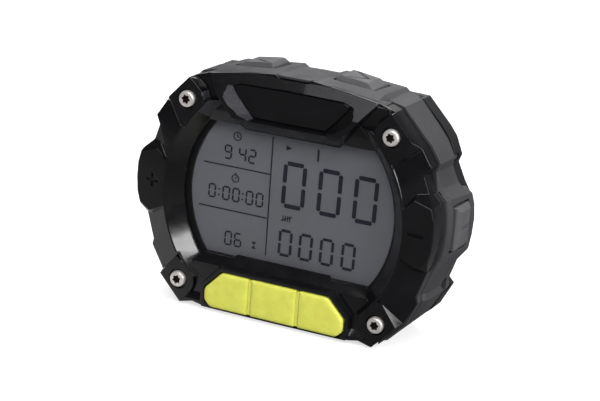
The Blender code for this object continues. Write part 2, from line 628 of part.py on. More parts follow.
def spring(start, end, height, radius=3.6, wire=0.3, turns=4, steps=12):
    """A coil spring along X, at the middle depth of the cells."""
    curve = bpy.data.curves.new("spring", "CURVE")
    curve.dimensions = "3D"
    curve.bevel_depth = wire * MM
    curve.bevel_resolution = 0
    curve.use_fill_caps = True
    count = turns * steps
    line = curve.splines.new("POLY")
    line.points.add(count)
    inset = wire if end > start else -wire
    for i in range(count + 1):
        share = i / count
        turn = 2 * pi * turns * share
        x = start + inset + (end - start - 2 * inset) * share
        line.points[i].co = (*place(x, 22.7 + radius * cos(turn), height + radius * sin(turn)), 1)
    item = bpy.data.objects.new("spring", curve)
    bpy.context.scene.collection.objects.link(item)
    graph = bpy.context.evaluated_depsgraph_get()
    mesh = bpy.data.meshes.new_from_object(item.evaluated_get(graph))
    bpy.data.objects.remove(item, do_unlink=True)
    bm = bmesh.new()
    bm.from_mesh(mesh)
    return mesh_object("spring", bm)


# Grip sleeve and its pads

def sleeve_outline(depth, growth):
    """The sleeve's outline: the face's grown to a lip at depth 0, else between the body's and the back's."""
    if depth == 0:
        return grown(mirrored(FACE_HALF), mirrored_values(growth))
    share = (depth - SLEEVE_BODY_FRONT) / (SLEEVE_BACK - SLEEVE_BODY_FRONT)
    return grown(between(mirrored(BODY_HALF), mirrored(BACK_HALF), share), growth)


def platform(side):
    """The raised stretch of the sleeve's top that carries a pad."""
    low = [(5.0, 72.4), (28.2, 70.9)]
    points = [(x, 5.6, z) for x, z in [(6.8, 74.95), (17.0, 73.8), (26.6, 72.35)] + low]
    top = [(6.8, 75.5), (17.0, 74.6), (26.6, 73.7), (5.0, 74.3), (28.2, 72.4)]
    for y, drop in ((SLEEVE_BODY_FRONT, 0.0), (SLEEVE_BACK, 1.0)):
        points += [(x, y, z - drop) for x, z in top]
        points += [(x, y, z) for x, z in low]
    return hull("platform", [(side * x, y, z) for x, y, z in points])


def grip_sleeve():
    lip = mirrored_values(LIP_DEPTHS)
    groove_front, groove_back, step = ([y + shift for y in lip] for shift in (0.1, 0.5, 0.6))
    sections = [(FLANGE_BACK + TOUCH, sleeve_outline(0, LIP_GROWTH)), (lip, sleeve_outline(0, LIP_GROWTH)),
                (groove_front, sleeve_outline(0, GROOVE_GROWTH)), (groove_back, sleeve_outline(0, GROOVE_GROWTH)),
                (step, sleeve_outline(SLEEVE_BODY_FRONT, mirrored_values(STEP_GROWTH)))]
    for y, growth in ((10.6, 0.0), (20.0, 0.2), (25.2, 0.0), (SLEEVE_BACK, -0.2)):
        sections.append((y, sleeve_outline(y, growth)))
    base = loft("grip_sleeve", sections)
    tongue = hull("tongue", both_sides([(x, y, z) for x, z in [(5.3, 75.1), (3.6, 72.9)] for y in (4.0, 6.0)]))
    cut(tongue, box("clearance", (-10, 3, 70), (10, FLANGE_BACK + TOUCH, 74.35)))
    join(base, platform(1), platform(-1), tongue)
    tools = [prism("inner", grown(mirrored(CORE_HALF), SLEEVE_INSET), 0, 30)]
    tools.append(box("chin", (-32.9, 3.0, -3.0), (32.9, PLATE_BACK + TOUCH, 3.4)))
    for centre in SCREWS.values():
        tools.append(cylinder("boss_clearance", centre, BOSS_RADIUS + TOUCH, 4.0, 27.0))
    for side in (1, -1):
        for outline, back in ((SHOULDER, SHOULDER_BACK), (TAB_SIDE, TAB_SIDE_BACK)):
            wide = [(side * x, z) for x, z in grown(outline, TOUCH)]
            tools.append(prism("front_cut", wide, 4.0, back + TOUCH))
        for outline, front in REAR_EDGES:
            wide = [(side * x, z) for x, z in grown(outline, TOUCH)]
            tools.append(prism("back_cut", wide, front - TOUCH, 30.0))
        tools += side_window(side) + top_window(side)
        socket = circle((21.6, 16.4), 2.2, 6)
        tools.append(hull("socket", [(side * x, y, z) for y, z in socket for x in (43.4, 50.0)]))
    cut(base, *tools)
    finish(base, "grip_sleeve", SLEEVE_GREY, 0.75)


def side_window(side):
    """The hole in the sleeve for a side pad, and the wider pocket behind it for the pad's flange."""
    outer, inner = sorted((side * 44.0, side * 54.0)), sorted((side * 44.0, side * 47.5))
    reach = FLANGE_REACH + PAD_GAP
    return [
        box("side_window", (outer[0], SIDE_PAD_FRONT - PAD_GAP, SIDE_PAD_LOW - PAD_GAP),
            (outer[1], PAD_BACK + PAD_GAP, SIDE_PAD_HIGH + PAD_GAP)),
        box("side_pocket", (inner[0], SIDE_PAD_FRONT - reach, SIDE_PAD_LOW - reach),
            (inner[1], PAD_BACK + reach, SIDE_PAD_HIGH + reach)),
    ]


def top_window(side):
    """The hole in the sleeve for a top pad, and the wider pocket under it for the pad's flange."""
    xs = sorted((side * (TOP_PAD_IN - PAD_GAP), side * (TOP_PAD_OUT + PAD_GAP)))
    reach = FLANGE_REACH + PAD_GAP
    window = box("top_window", (xs[0], PAD_FRONT - PAD_GAP, 69.0), (xs[1], PAD_BACK + PAD_GAP, 80.0))
    points = []
    for x in (TOP_PAD_IN - reach, TOP_PAD_OUT + reach):
        for y in (PAD_FRONT - reach, PAD_BACK + reach):
            points += [(side * x, y, z) for z in (68.0, top_pad_height(x) - TOP_FLANGE_DROP + TOUCH)]
    return [window, hull("top_pocket", points)]


def top_pad_height(x):
    return 76.6 - (abs(x) - TOP_PAD_IN) * 0.125


def top_block(side, levels):
    """A block that follows the sloping top, through levels of (drop from the top, inset, slope of its end)."""
    points = []
    for drop, inset, slope in levels:
        for y in (PAD_FRONT + inset, PAD_BACK - inset):
            for x in (TOP_PAD_IN + inset, TOP_PAD_OUT - inset - slope):
                points.append((side * x, y, top_pad_height(x) - drop))
    return hull("top_block", points)


def pads():
    for side, name in ((-1, "plus_pad"), (1, "minus_pad")):
        points = []
        for x, inset in ((46.6, 0.0), (50.9, 0.0), (52.2, 1.3)):
            for y in (SIDE_PAD_FRONT + inset, PAD_BACK - inset):
                points += [(side * x, y, z) for z in (SIDE_PAD_LOW + inset, SIDE_PAD_HIGH - inset)]
        pad = hull("pad", points)
        ends = sorted((side * 39.8, side * 47.0))
        xs = sorted((side * 46.4, side * 47.2))
        flange = box("flange", (xs[0], SIDE_PAD_FRONT - FLANGE_REACH, SIDE_PAD_LOW - FLANGE_REACH),
                     (xs[1], PAD_BACK + FLANGE_REACH, SIDE_PAD_HIGH + FLANGE_REACH))
        join(pad, flange, rod("plunger", "X", (BUTTON_DEPTH, SIDE_BUTTON_HEIGHT), 1.6, *ends, 12))
        outside = sorted((side * 51.6, side * 53.0))
        strokes = [(2.9, 0.4)] if name == "minus_pad" else [(2.9, 0.4), (0.4, 2.9)]
        for depth_reach, height_reach in strokes:
            low = (outside[0], SIDE_MARK_DEPTH - depth_reach, SIDE_BUTTON_HEIGHT - height_reach)
            high = (outside[1], SIDE_MARK_DEPTH + depth_reach, SIDE_BUTTON_HEIGHT + height_reach)
            cut(pad, box("mark", low, high))
        finish(pad, name, PAD_GREY, 0.7, origin=(side * 48.0, BUTTON_DEPTH, SIDE_BUTTON_HEIGHT))
    for side, name in ((-1, "previous_pad"), (1, "next_pad")):
        pad = top_block(side, [(TOP_FLANGE_DROP + 0.4, 0.0, 0.0), (1.4, 0.0, 0.0), (0.0, 1.2, 1.2)])
        flange = top_block(side, [(TOP_FLANGE_DROP + drop, -FLANGE_REACH, 0.0) for drop in (0.7, 0.0)])
        join(pad, flange, rod("plunger", "Z", (side * TOP_BUTTON_OFFSET, BUTTON_DEPTH), 1.6, 67.6, 73.0, 12))
        cut(pad, chevron_stroke(side, 1), chevron_stroke(side, -1))
        finish(pad, name, PAD_GREY, 0.7, origin=(side * TOP_BUTTON_OFFSET, BUTTON_DEPTH, 72.0))


def chevron_stroke(side, end):
    """Half of the arrowhead mark on a top pad: end is 1 for the rear stroke."""
    tip = (TOP_BUTTON_OFFSET + 2.0, BUTTON_DEPTH)
    tail = (TOP_BUTTON_OFFSET - 3.0, BUTTON_DEPTH + end * 3.8)
    width = 0.5
    points = []
    for x, y in (tip, tail):
        for shift in (-width, width):
            points += [(side * (x + shift), y, top_pad_height(x) + rise) for rise in (-0.5, 2.0)]
    return hull("stroke", points)


# Keys on the front

def keys():
    limits = [-30.0, *KEY_SPLITS, 30.0]
    for i, name in enumerate(("left_key", "centre_key", "right_key")):
        left, right = limits[i] + SPLIT_HALF_WIDTH, limits[i + 1] - SPLIT_HALF_WIDTH
        key = loft("key", [(KEY_FRONT, grown(strip_outline(), -1.1)),
                           (KEY_FRONT + 0.7, grown(strip_outline(), -0.1)),
                           (KEY_FRONT + 1.0, strip_outline()), (5.4, strip_outline())])
        part = [(x, y, z) for x in (left, right) for y in (0.2, 7.0) for z in (-5, 20)]
        part += [(x, KEY_FRONT, z) for x in (left + 0.7, right - 0.7) for z in (-5, 20)]
        keep(key, hull("slice", part))
        flange = box("flange", (max(left, -24.3), 5.2, 0.8), (min(right, 24.3), 5.9, 13.0))
        join(key, flange, cylinder("plunger", (KEY_MIDDLES[i], 6.8), 1.5, 5.0, 9.0, 12))
        finish(key, name, LIME, 0.5, origin=(KEY_MIDDLES[i], 5.2, 6.8))
    web = box("web", (-24.3, 7.0, 0.8), (24.3, PLATE_BACK, 13.0))
    for x in KEY_SPLITS:
        join(web, box("rib", (x - RIB_HALF_WIDTH, 0.1, 0.9), (x + RIB_HALF_WIDTH, 7.3, 11.8)))
    cut(web, *[cylinder("hole", (x, 6.8), 1.9, 4.0, 9.0, 12) for x in KEY_MIDDLES])
    finish(web, "keypad_web", LIME, 0.6)


# Fasteners and seal

def fasteners():
    for name, centre in SCREWS.items():
        screw = loft("screw", [(0.0, circle(centre, 1.9, 24)), (0.45, circle(centre, 2.6, 24)),
                               (0.9, circle(centre, 2.75, 24)), (2.0, circle(centre, 2.75, 24))])
        join(screw, cylinder("shank", centre, 1.3, 1.5, 21.0, 12))
        cut(screw, prism("drive", six_lobe_star(centre, 1.35), -1.0, 1.3))
        finish(screw, f"bezel_screw_{name}", STEEL, 0.25, 1.0)
        insert = cylinder("insert", centre, 2.3, 13.4, 20.0, 12)
        cut(insert, cylinder("bore", centre, 1.65, 12.0, 21.0, 12))
        finish(insert, f"threaded_insert_{name}", BRASS, 0.35, 1.0)
    core = mirrored(CORE_HALF)
    seal = prism("seal", grown(core, WALL_OUTSIDE - 0.2), SKIRT_BACK + TOUCH, TUB_FRONT - TOUCH)
    cut(seal, prism("inside", grown(core, WALL_INSIDE + 0.3), 10, 15))
    for centre in SCREWS.values():
        join(seal, cylinder("disc", centre, BOSS_RADIUS - 0.1, SKIRT_BACK + TOUCH, TUB_FRONT - TOUCH))
        cut(seal, cylinder("hole", centre, 1.9, 10, 15))
    finish(seal, "housing_seal", (0.03, 0.03, 0.03), 0.8)


clear_scene()
front_bezel()
nameplate()
display()
electronics()
rear_housing()
battery_bay()
grip_sleeve()
pads()
keys()
fasteners()
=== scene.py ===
"""The looks of a digital tally counter: gloss bezel, rubber sleeve and pads, lime keys and a grey display.

Sizes are in millimetres in the face frame that the solids are drawn in: X to the right, Y back from the
plane of the screw heads, Z up from the bezel's lower edge. place() turns them into metres in the world.
"""

from math import atan2, cos, pi, radians, sin, tan

import bmesh
import bpy
from mathutils import Matrix, Vector


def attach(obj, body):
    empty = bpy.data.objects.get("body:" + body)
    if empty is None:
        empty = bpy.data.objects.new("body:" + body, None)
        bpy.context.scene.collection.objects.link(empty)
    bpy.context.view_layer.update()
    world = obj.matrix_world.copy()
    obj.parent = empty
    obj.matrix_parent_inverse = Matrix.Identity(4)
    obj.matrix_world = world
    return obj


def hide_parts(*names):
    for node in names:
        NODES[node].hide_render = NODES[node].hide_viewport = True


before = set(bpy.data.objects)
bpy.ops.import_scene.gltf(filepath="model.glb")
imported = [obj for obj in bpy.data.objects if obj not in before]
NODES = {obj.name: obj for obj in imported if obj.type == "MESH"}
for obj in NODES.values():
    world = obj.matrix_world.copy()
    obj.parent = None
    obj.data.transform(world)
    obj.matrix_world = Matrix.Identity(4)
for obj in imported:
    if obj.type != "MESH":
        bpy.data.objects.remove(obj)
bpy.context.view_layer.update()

MM = 0.001
# Where the world's origin lies in the face frame: in the middle of the counter's depth, and at its foot
MIDDLE = 15.0
FOOT = -1.0

# Where the photograph's camera stood, in metres, and how it was turned, in degrees
CAMERA_PLACE = (0.2294, -0.4921, 0.2037)
CAMERA_AZIMUTH = 25.03
CAMERA_ELEVATION = 17.17
CAMERA_ROLL = 4.08
CAMERA_LENS = 113.0
SENSOR_WIDTH = 36.0

# Colours as they look under plain white light, linear red, green and blue
BLACK_ABS = (0.0042, 0.0042, 0.0050)
TEXTURED_ABS = (0.018, 0.018, 0.021)
# Painted light: a lighter tone for the faces at the left of the nameplate's dish, for the lamp light that
# they catch
PAINTED_LIGHT_ABS = (0.032, 0.032, 0.037)
CASE_ABS = (0.007, 0.007, 0.008)
SLEEVE_RUBBER = (0.034, 0.034, 0.037)
PAD_RUBBER = (0.060, 0.060, 0.064)
LIP_RUBBER = (0.010, 0.010, 0.011)
LIME_SILICONE = (0.68, 0.68, 0.096)
STAINLESS = (0.74, 0.70, 0.67)
# Painted shade for the screws' drive recesses, which stands in for the shade that falls there
PAINTED_DRIVE_SHADE = (0.030, 0.018, 0.014)
NICKEL = (0.66, 0.64, 0.60)
BRASS = (0.62, 0.42, 0.16)
LCD_GREY = (0.160, 0.163, 0.182)
FIGURE_INK = (0.020, 0.020, 0.032)
LENS_SMOKE = (0.01, 0.01, 0.01)
BOARD_GREEN = (0.012, 0.10, 0.04)
CHIP_EPOXY = (0.018, 0.018, 0.019)
CELL_JACKET = (0.16, 0.16, 0.17)
DIFFUSER_WHITE = (0.72, 0.73, 0.72)
SEAL_RUBBER = (0.02, 0.02, 0.021)
DOOR_SEAL_RUBBER = (0.16, 0.02, 0.02)
ELASTOMER_PINK = (0.45, 0.24, 0.30)
ELASTOMER_BLACK = (0.02, 0.02, 0.02)
STRIPE_WIDTH = 2.0


def place(x, y, z):
    """A point of the face frame, in metres in the world frame."""
    return Vector((x * MM, (y - MIDDLE) * MM, (z - FOOT) * MM))


# Materials

# Noise lies mostly between these two values, so they are where a drift starts and ends
NOISE_LOW, NOISE_HIGH = 0.3, 0.7


def feed(tree, value, socket):
    """Links an output to a socket, or writes a plain value into it."""
    if isinstance(value, bpy.types.NodeSocket):
        tree.links.new(value, socket)
    else:
        socket.default_value = value


def by_identifier(sockets):
    """The sockets of a node of which several have the same name."""
    return {socket.identifier: socket for socket in sockets}


class Finish:
    """A Principled material with its colour, roughness and relief made by noise on Object coordinates."""

    def __init__(self, name, colour, roughness, metallic=0.0, **sockets):
        self.material = bpy.data.materials.new(name)
        self.material.use_nodes = True
        self.tree = self.material.node_tree
        self.shader = self.tree.nodes["Principled BSDF"]
        self.shader.inputs["Base Color"].default_value = (*colour, 1)
        self.shader.inputs["Roughness"].default_value = roughness
        self.shader.inputs["Metallic"].default_value = metallic
        for socket, value in sockets.items():
            self.shader.inputs[socket.replace("_", " ")].default_value = value
        self.material.diffuse_color = (*colour, 1)
        self.colour = colour
        self.roughness = roughness
        self.coordinates = self.tree.nodes.new("ShaderNodeTexCoord").outputs["Object"]

    def link(self, output, socket):
        self.tree.links.new(output, socket)

    def noise(self, size, detail=2.0, stretch=(1, 1, 1)):
        """Noise whose lumps are about size millimetres across, divided by the stretch along each axis."""
        mapping = self.tree.nodes.new("ShaderNodeMapping")
        mapping.inputs["Scale"].default_value = stretch
        self.link(self.coordinates, mapping.inputs["Vector"])
        texture = self.tree.nodes.new("ShaderNodeTexNoise")
        texture.inputs["Scale"].default_value = 1 / (size * MM)
        texture.inputs["Detail"].default_value = detail
        self.link(mapping.outputs["Vector"], texture.inputs["Vector"])
        return texture.outputs["Fac"]

    def cells(self, size):
        """The distance to the middle of cells about size millimetres across."""
        texture = self.tree.nodes.new("ShaderNodeTexVoronoi")
        texture.inputs["Scale"].default_value = 1 / (size * MM)
        self.link(self.coordinates, texture.inputs["Vector"])
        return texture.outputs["Distance"]

    def mapped(self, value, low, high, start=NOISE_LOW, end=NOISE_HIGH):
        """A straight change from low to high as the value goes from start to end."""
        node = self.tree.nodes.new("ShaderNodeMapRange")
        node.inputs["From Min"].default_value = start
        node.inputs["From Max"].default_value = end
        node.inputs["To Min"].default_value = low
        node.inputs["To Max"].default_value = high
        self.link(value, node.inputs["Value"])
        return node.outputs["Result"]

    def mottled(self, size, spread, tint=(1, 1, 1)):
        """Colour that drifts by a share of itself from patch to patch, towards a tint where it is lighter."""
        ramp = self.tree.nodes.new("ShaderNodeValToRGB")
        darker = [part * (1 - spread) for part in self.colour]
        lighter = [part * (1 + spread) * share for part, share in zip(self.colour, tint)]
        stops = ramp.color_ramp.elements
        for stop, position, colour in zip(stops, (NOISE_LOW, NOISE_HIGH), (darker, lighter)):
            stop.position = position
            stop.color = (*colour, 1)
        self.link(self.noise(size, 3.0), ramp.inputs["Fac"])
        self.link(ramp.outputs["Color"], self.shader.inputs["Base Color"])
        return self

    def handled(self, size, spread):
        """Roughness that drifts by an amount, as where fingers have polished or dulled the surface."""
        drift = self.mapped(self.noise(size, 4.0), self.roughness - spread, self.roughness + spread)
        self.link(drift, self.shader.inputs["Roughness"])
        return self

    def relief(self, value, height):
        """Adds a bump of that height in millimetres over any that the material has already."""
        bump = self.tree.nodes.new("ShaderNodeBump")
        bump.inputs["Distance"].default_value = height * MM
        self.link(value, bump.inputs["Height"])
        normal = self.shader.inputs["Normal"]
        if normal.links:
            self.link(normal.links[0].from_socket, bump.inputs["Normal"])
        self.link(bump.outputs["Normal"], normal)
        return self

    def grained(self, size, height, detail=2.0, stretch=(1, 1, 1)):
        return self.relief(self.noise(size, detail, stretch), height)

    def stippled(self, size, height):
        return self.relief(self.cells(size), height)

    def mixed(self, kind, share, first, second):
        """A colour (RGBA) or number (FLOAT) that goes from first to second as the share goes from 0 to 1."""
        node = self.tree.nodes.new("ShaderNodeMix")
        node.data_type = kind
        ending = "Color" if kind == "RGBA" else "Float"
        inputs = by_identifier(node.inputs)
        self.link(share, inputs["Factor_Float"])
        feed(self.tree, first, inputs["A_" + ending])
        feed(self.tree, second, inputs["B_" + ending])
        return by_identifier(node.outputs)["Result_" + ending]

    def blended_across(self, start, colour, roughness, width=2.5):
        """Goes over to another colour and roughness to the left of a place in X."""
        parts = self.tree.nodes.new("ShaderNodeSeparateXYZ")
        self.link(self.coordinates, parts.inputs["Vector"])
        share = self.mapped(parts.outputs["X"], 0.0, 1.0, start * MM, (start + width) * MM)
        for label, kind, value in (("Base Color", "RGBA", (*colour, 1)), ("Roughness", "FLOAT", roughness)):
            target = self.shader.inputs[label]
            self.link(self.mixed(kind, share, value, target.links[0].from_socket), target)
        return self


def gloss_black():
    made = Finish("gloss_black_abs", BLACK_ABS, 0.16, Specular_IOR_Level=0.5)
    return made.mottled(9.0, 0.25).handled(5.0, 0.05).grained(4.0, 0.012).material


def plate_black():
    made = Finish("plate_gloss_black", BLACK_ABS, 0.10, Specular_IOR_Level=0.5)
    return made.mottled(6.0, 0.2).handled(3.0, 0.04).grained(3.0, 0.006).material


def textured_black(colour, shine, shaded_up_to=None):
    """Spark-textured moulding, which left of a place in X, when one is given, is smoother and painted darker,
    a painted shade.
    """
    made = Finish("spark_textured_black", colour, 0.42, Specular_IOR_Level=shine)
    made.mottled(0.5, 0.35).handled(0.6, 0.12).grained(0.28, 0.05, 3.0)
    # Painted shade: left of the place the colour darkens to gloss black, and the roughness drops
    if shaded_up_to is not None:
        made.blended_across(shaded_up_to, BLACK_ABS, 0.16)
    return made.material


def case_black():
    made = Finish("case_black_abs", CASE_ABS, 0.38, Specular_IOR_Level=0.25)
    return made.mottled(7.0, 0.2).handled(4.0, 0.07).grained(0.22, 0.014, 3.0).material


def sleeve_rubber():
    made = Finish("sleeve_rubber", SLEEVE_RUBBER, 0.62, Specular_IOR_Level=0.25)
    return made.mottled(12.0, 0.09).handled(6.0, 0.08).grained(0.35, 0.012, 3.0).material


def lip_black():
    made = Finish("lip_rubber", LIP_RUBBER, 0.5, Specular_IOR_Level=0.2)
    return made.mottled(5.0, 0.15).handled(3.0, 0.07).grained(0.3, 0.010, 3.0).material


def pad_rubber():
    made = Finish("pad_rubber", PAD_RUBBER, 0.58, Specular_IOR_Level=0.3)
    return made.mottled(5.0, 0.08).handled(3.0, 0.07).grained(0.3, 0.010, 3.0).material


def lime_silicone():
    made = Finish("lime_silicone", LIME_SILICONE, 0.42, Subsurface_Weight=0.12, Subsurface_Scale=0.0012)
    return made.mottled(3.0, 0.07, (0.97, 1.0, 1.1)).handled(2.5, 0.07).grained(0.9, 0.02, 3.0).material


def stainless():
    """Steel, with painted shade, a dark brown, in the drive recess where the mesh's drive attribute is one.
    """
    made = Finish("stainless_screw", STAINLESS, 0.34, 0.6)
    made.mottled(0.9, 0.12).handled(0.5, 0.08).grained(0.4, 0.01, 3.0)
    drive = made.tree.nodes.new("ShaderNodeAttribute")
    drive.attribute_name = "drive"
    colour = made.shader.inputs["Base Color"]
    shaded = made.mixed("RGBA", drive.outputs["Fac"], colour.links[0].from_socket, (*PAINTED_DRIVE_SHADE, 1))
    made.link(shaded, colour)
    return made.material


def nickel():
    made = Finish("nickel_plate", NICKEL, 0.22, 1.0)
    return made.mottled(1.5, 0.08).handled(0.8, 0.06).grained(0.5, 0.008).material


def brass():
    made = Finish("turned_brass", BRASS, 0.3, 1.0)
    return made.mottled(1.0, 0.1).handled(0.7, 0.06).grained(0.3, 0.01, 2.0, (1, 8, 1)).material


def lcd_grey():
    made = Finish("display_grey", LCD_GREY, 0.5, Specular_IOR_Level=0.25)
    return made.mottled(26.0, 0.035, (1, 1, 1.02)).handled(8.0, 0.04).grained(0.12, 0.004).material


def figure_ink():
    made = Finish("display_figures", FIGURE_INK, 0.5, Specular_IOR_Level=0.2)
    return made.mottled(2.0, 0.12, (1, 1, 1.1)).handled(2.0, 0.05).grained(0.3, 0.002).material


def lens_clear():
    made = Finish("clear_lens", LENS_SMOKE, 0.04, Alpha=0.10, Specular_IOR_Level=0.5)
    made.material.surface_render_method = "BLENDED"
    return made.mottled(10.0, 0.1).handled(12.0, 0.02).grained(14.0, 0.01).material


def mask_black():
    made = Finish("mask_black", BLACK_ABS, 0.5)
    return made.mottled(3.0, 0.2).handled(2.0, 0.06).grained(0.3, 0.006).material


def diffuser():
    made = Finish("light_diffuser", DIFFUSER_WHITE, 0.45)
    return made.mottled(8.0, 0.05).handled(4.0, 0.05).stippled(0.6, 0.03).material


def striped_elastomer():
    made = Finish("striped_elastomer", ELASTOMER_PINK, 0.7)
    stripes = made.tree.nodes.new("ShaderNodeTexWave")
    stripes.inputs["Scale"].default_value = 1 / (2 * STRIPE_WIDTH * MM)
    made.link(made.coordinates, stripes.inputs["Vector"])
    ramp = made.tree.nodes.new("ShaderNodeValToRGB")
    ramp.color_ramp.elements[0].color = (*ELASTOMER_BLACK, 1)
    ramp.color_ramp.elements[1].color = (*ELASTOMER_PINK, 1)
    made.link(stripes.outputs["Fac"], ramp.inputs["Fac"])
    made.link(ramp.outputs["Color"], made.shader.inputs["Base Color"])
    return made.handled(1.0, 0.08).grained(0.3, 0.01).material


def solder_mask():
    made = Finish("solder_mask", BOARD_GREEN, 0.32)
    return made.mottled(2.2, 0.35, (1.2, 1, 1)).handled(2.0, 0.08).stippled(1.6, 0.02).material


def chip_epoxy():
    made = Finish("chip_epoxy", CHIP_EPOXY, 0.5)
    return made.mottled(1.0, 0.2).handled(1.0, 0.08).grained(0.15, 0.008).material


def cell_jacket():
    made = Finish("cell_jacket", CELL_JACKET, 0.3, 0.5)
    return made.mottled(4.0, 0.15).handled(3.0, 0.06).grained(1.5, 0.01).material


def seal_rubber(name, colour):
    made = Finish(name, colour, 0.72)
    return made.mottled(2.0, 0.15).handled(1.5, 0.06).grained(0.25, 0.01).material


# Shapes

# Faces of a solid that meet at less than the flat angle are one face, and past the edge angle are rounded
FLAT_ANGLE = 0.5
EDGE_ANGLE = 24
MERGE_DISTANCE = 0.12
FLAT_FACE_WEIGHT = 80


def mesh_object(name, bm):
    """A new object with the shape that was built, which is freed."""
    bmesh.ops.recalc_face_normals(bm, faces=bm.faces)
    mesh = bpy.data.meshes.new(name)
    bm.to_mesh(mesh)
    bm.free()
    item = bpy.data.objects.new(name, mesh)
    bpy.context.scene.collection.objects.link(item)
    return item


def baked(item):
    """Makes the object's evaluated shape its plain mesh, and removes its modifiers."""
    graph = bpy.context.evaluated_depsgraph_get()
    mesh = bpy.data.meshes.new_from_object(item.evaluated_get(graph))
    item.modifiers.clear()
    item.data = mesh
    return item


def rounded_edges(item, width, segments):
    """Rounds the object's edges, a width in millimetres, and shades it so that its flat faces look flat."""
    bevel = item.modifiers.new("edges", "BEVEL")
    bevel.width = width * MM
    bevel.segments = segments
    bevel.limit_method = "ANGLE"
    bevel.angle_limit = radians(EDGE_ANGLE)
    bevel.use_clamp_overlap = False
    normals = item.modifiers.new("flat faces", "WEIGHTED_NORMAL")
    normals.keep_sharp = False
    normals.weight = FLAT_FACE_WEIGHT
    item.data.shade_smooth()
    return baked(item)


def kept_within(item, solid):
    """Holds the object's points within the box round a solid, where a rounded corner has overshot it."""
    sides = list(zip(*(vertex.co for vertex in solid.vertices)))
    low = [min(values) for values in sides]
    high = [max(values) for values in sides]
    for vertex in item.data.vertices:
        vertex.co = [min(max(vertex.co[i], low[i]), high[i]) for i in range(3)]
    return item


def softened(node, name, width, segments=2):
    """A copy of a solid whose edges are rounded, as a moulding's are."""
    bm = bmesh.new()
    bm.from_mesh(NODES[node].data)
    bmesh.ops.remove_doubles(bm, verts=bm.verts, dist=MERGE_DISTANCE * MM)
    bmesh.ops.dissolve_degenerate(bm, edges=bm.edges, dist=MERGE_DISTANCE * MM)
    bmesh.ops.dissolve_limit(bm, angle_limit=radians(FLAT_ANGLE), verts=bm.verts, edges=bm.edges)
    # A wide face with holes folds when it is rounded as one, so it goes in as triangles
    wide = [face for face in bm.faces if len(face.verts) > 4]
    bmesh.ops.triangulate(bm, faces=wide, quad_method="BEAUTY", ngon_method="BEAUTY")
    item = rounded_edges(mesh_object(name, bm), width, segments)
    return kept_within(item, NODES[node].data)


def shown(item, material, body="housing", smooth=None):
    """Gives a finished piece its material, and fastens it to its body.

    Where a smooth angle is given in degrees, the piece is smooth except at edges past it.
    """
    item.data.name = item.name
    item.data.materials.clear()
    item.data.materials.append(material)
    if smooth is not None:
        item.data.shade_smooth()
        item.data.set_sharp_from_angle(angle=radians(smooth))
    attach(item, body)


def ring_of(bm, outline, depth):
    """The outline's points as vertices at a depth."""
    return [bm.verts.new(place(x, depth, z)) for x, z in outline]


def bridge(bm, first, second):
    """Faces between two rings of as many vertices each."""
    count = len(first)
    for i in range(count):
        j = (i + 1) % count
        bm.faces.new((first[i], first[j], second[j], second[i]))


def loft(name, sections):
    """A solid through outlines of as many points each, from front to back, given as (depth, outline)."""
    bm = bmesh.new()
    rings = [ring_of(bm, outline, depth) for depth, outline in sections]
    for front, back in zip(rings, rings[1:]):
        bridge(bm, front, back)
    bm.faces.new(rings[0])
    bm.faces.new(rings[-1])
    return mesh_object(name, bm)


def circle(centre, radius, sides):
    """The corners of a regular outline round a centre."""
    turns = [2 * pi * i / sides for i in range(sides)]
    return [(centre[0] + radius * cos(turn), centre[1] + radius * sin(turn)) for turn in turns]


def rounded(outline, radii, steps=6):
    """The outline with an arc in place of each corner, whose radius is given for each."""
    result = []
    for i, corner in enumerate(outline):
        here = Vector(corner)
        before = (Vector(outline[i - 1]) - here).normalized()
        after = (Vector(outline[(i + 1) % len(outline)]) - here).normalized()
        bend = before.angle(after)
        reach = radii[i] / tan(bend / 2)
        middle = here + (before + after).normalized() * (radii[i] / sin(bend / 2))
        start = here + before * reach - middle
        end = here + after * reach - middle
        sweep = start.angle_signed(end)
        for k in range(steps + 1):
            turn = -sweep * k / steps
            across = start.x * cos(turn) - start.y * sin(turn)
            up = start.x * sin(turn) + start.y * cos(turn)
            result.append((middle.x + across, middle.y + up))
    return result


def inset(outline, distance):
    """The outline moved inwards, keeping its number of points."""
    count = len(outline)
    result = []
    for i, (x, z) in enumerate(outline):
        before = Vector(outline[i]) - Vector(outline[i - 1])
        after = Vector(outline[(i + 1) % count]) - Vector(outline[i])
        normals = [Vector((-side.y, side.x)).normalized() for side in (before, after)]
        corner = (normals[0] + normals[1]).normalized()
        step = distance / max(corner.dot(normals[0]), 0.5)
        result.append((x - corner.x * step, z - corner.y * step))
    return result


# Bezel and nameplate

# Two corners of the box that holds the brow with the nameplate's dish
BROW_LOW, BROW_HIGH = (-28.0, -1.0, 60.6), (28.0, 5.0, 77.0)
# Height from which the brow's front slopes back, by how much for each millimetre up, and where in X its
# painted shade ends: left of it the spark-textured band is smoother and painted darker
BROW_CREASE = 66.4
BROW_SLOPE = 0.485
BAND_SHADE_END = 3.0
# How near to the slope a face's direction is for it to lie on the slope, as a cosine
ON_SLOPE = 0.99
# How far a face at the left of the dish looks to the right and to the front at least; such faces are painted
# lighter, a painted light where lamp light falls
DISH_RIGHTWARD, DISH_FORWARD = 0.15, 0.2


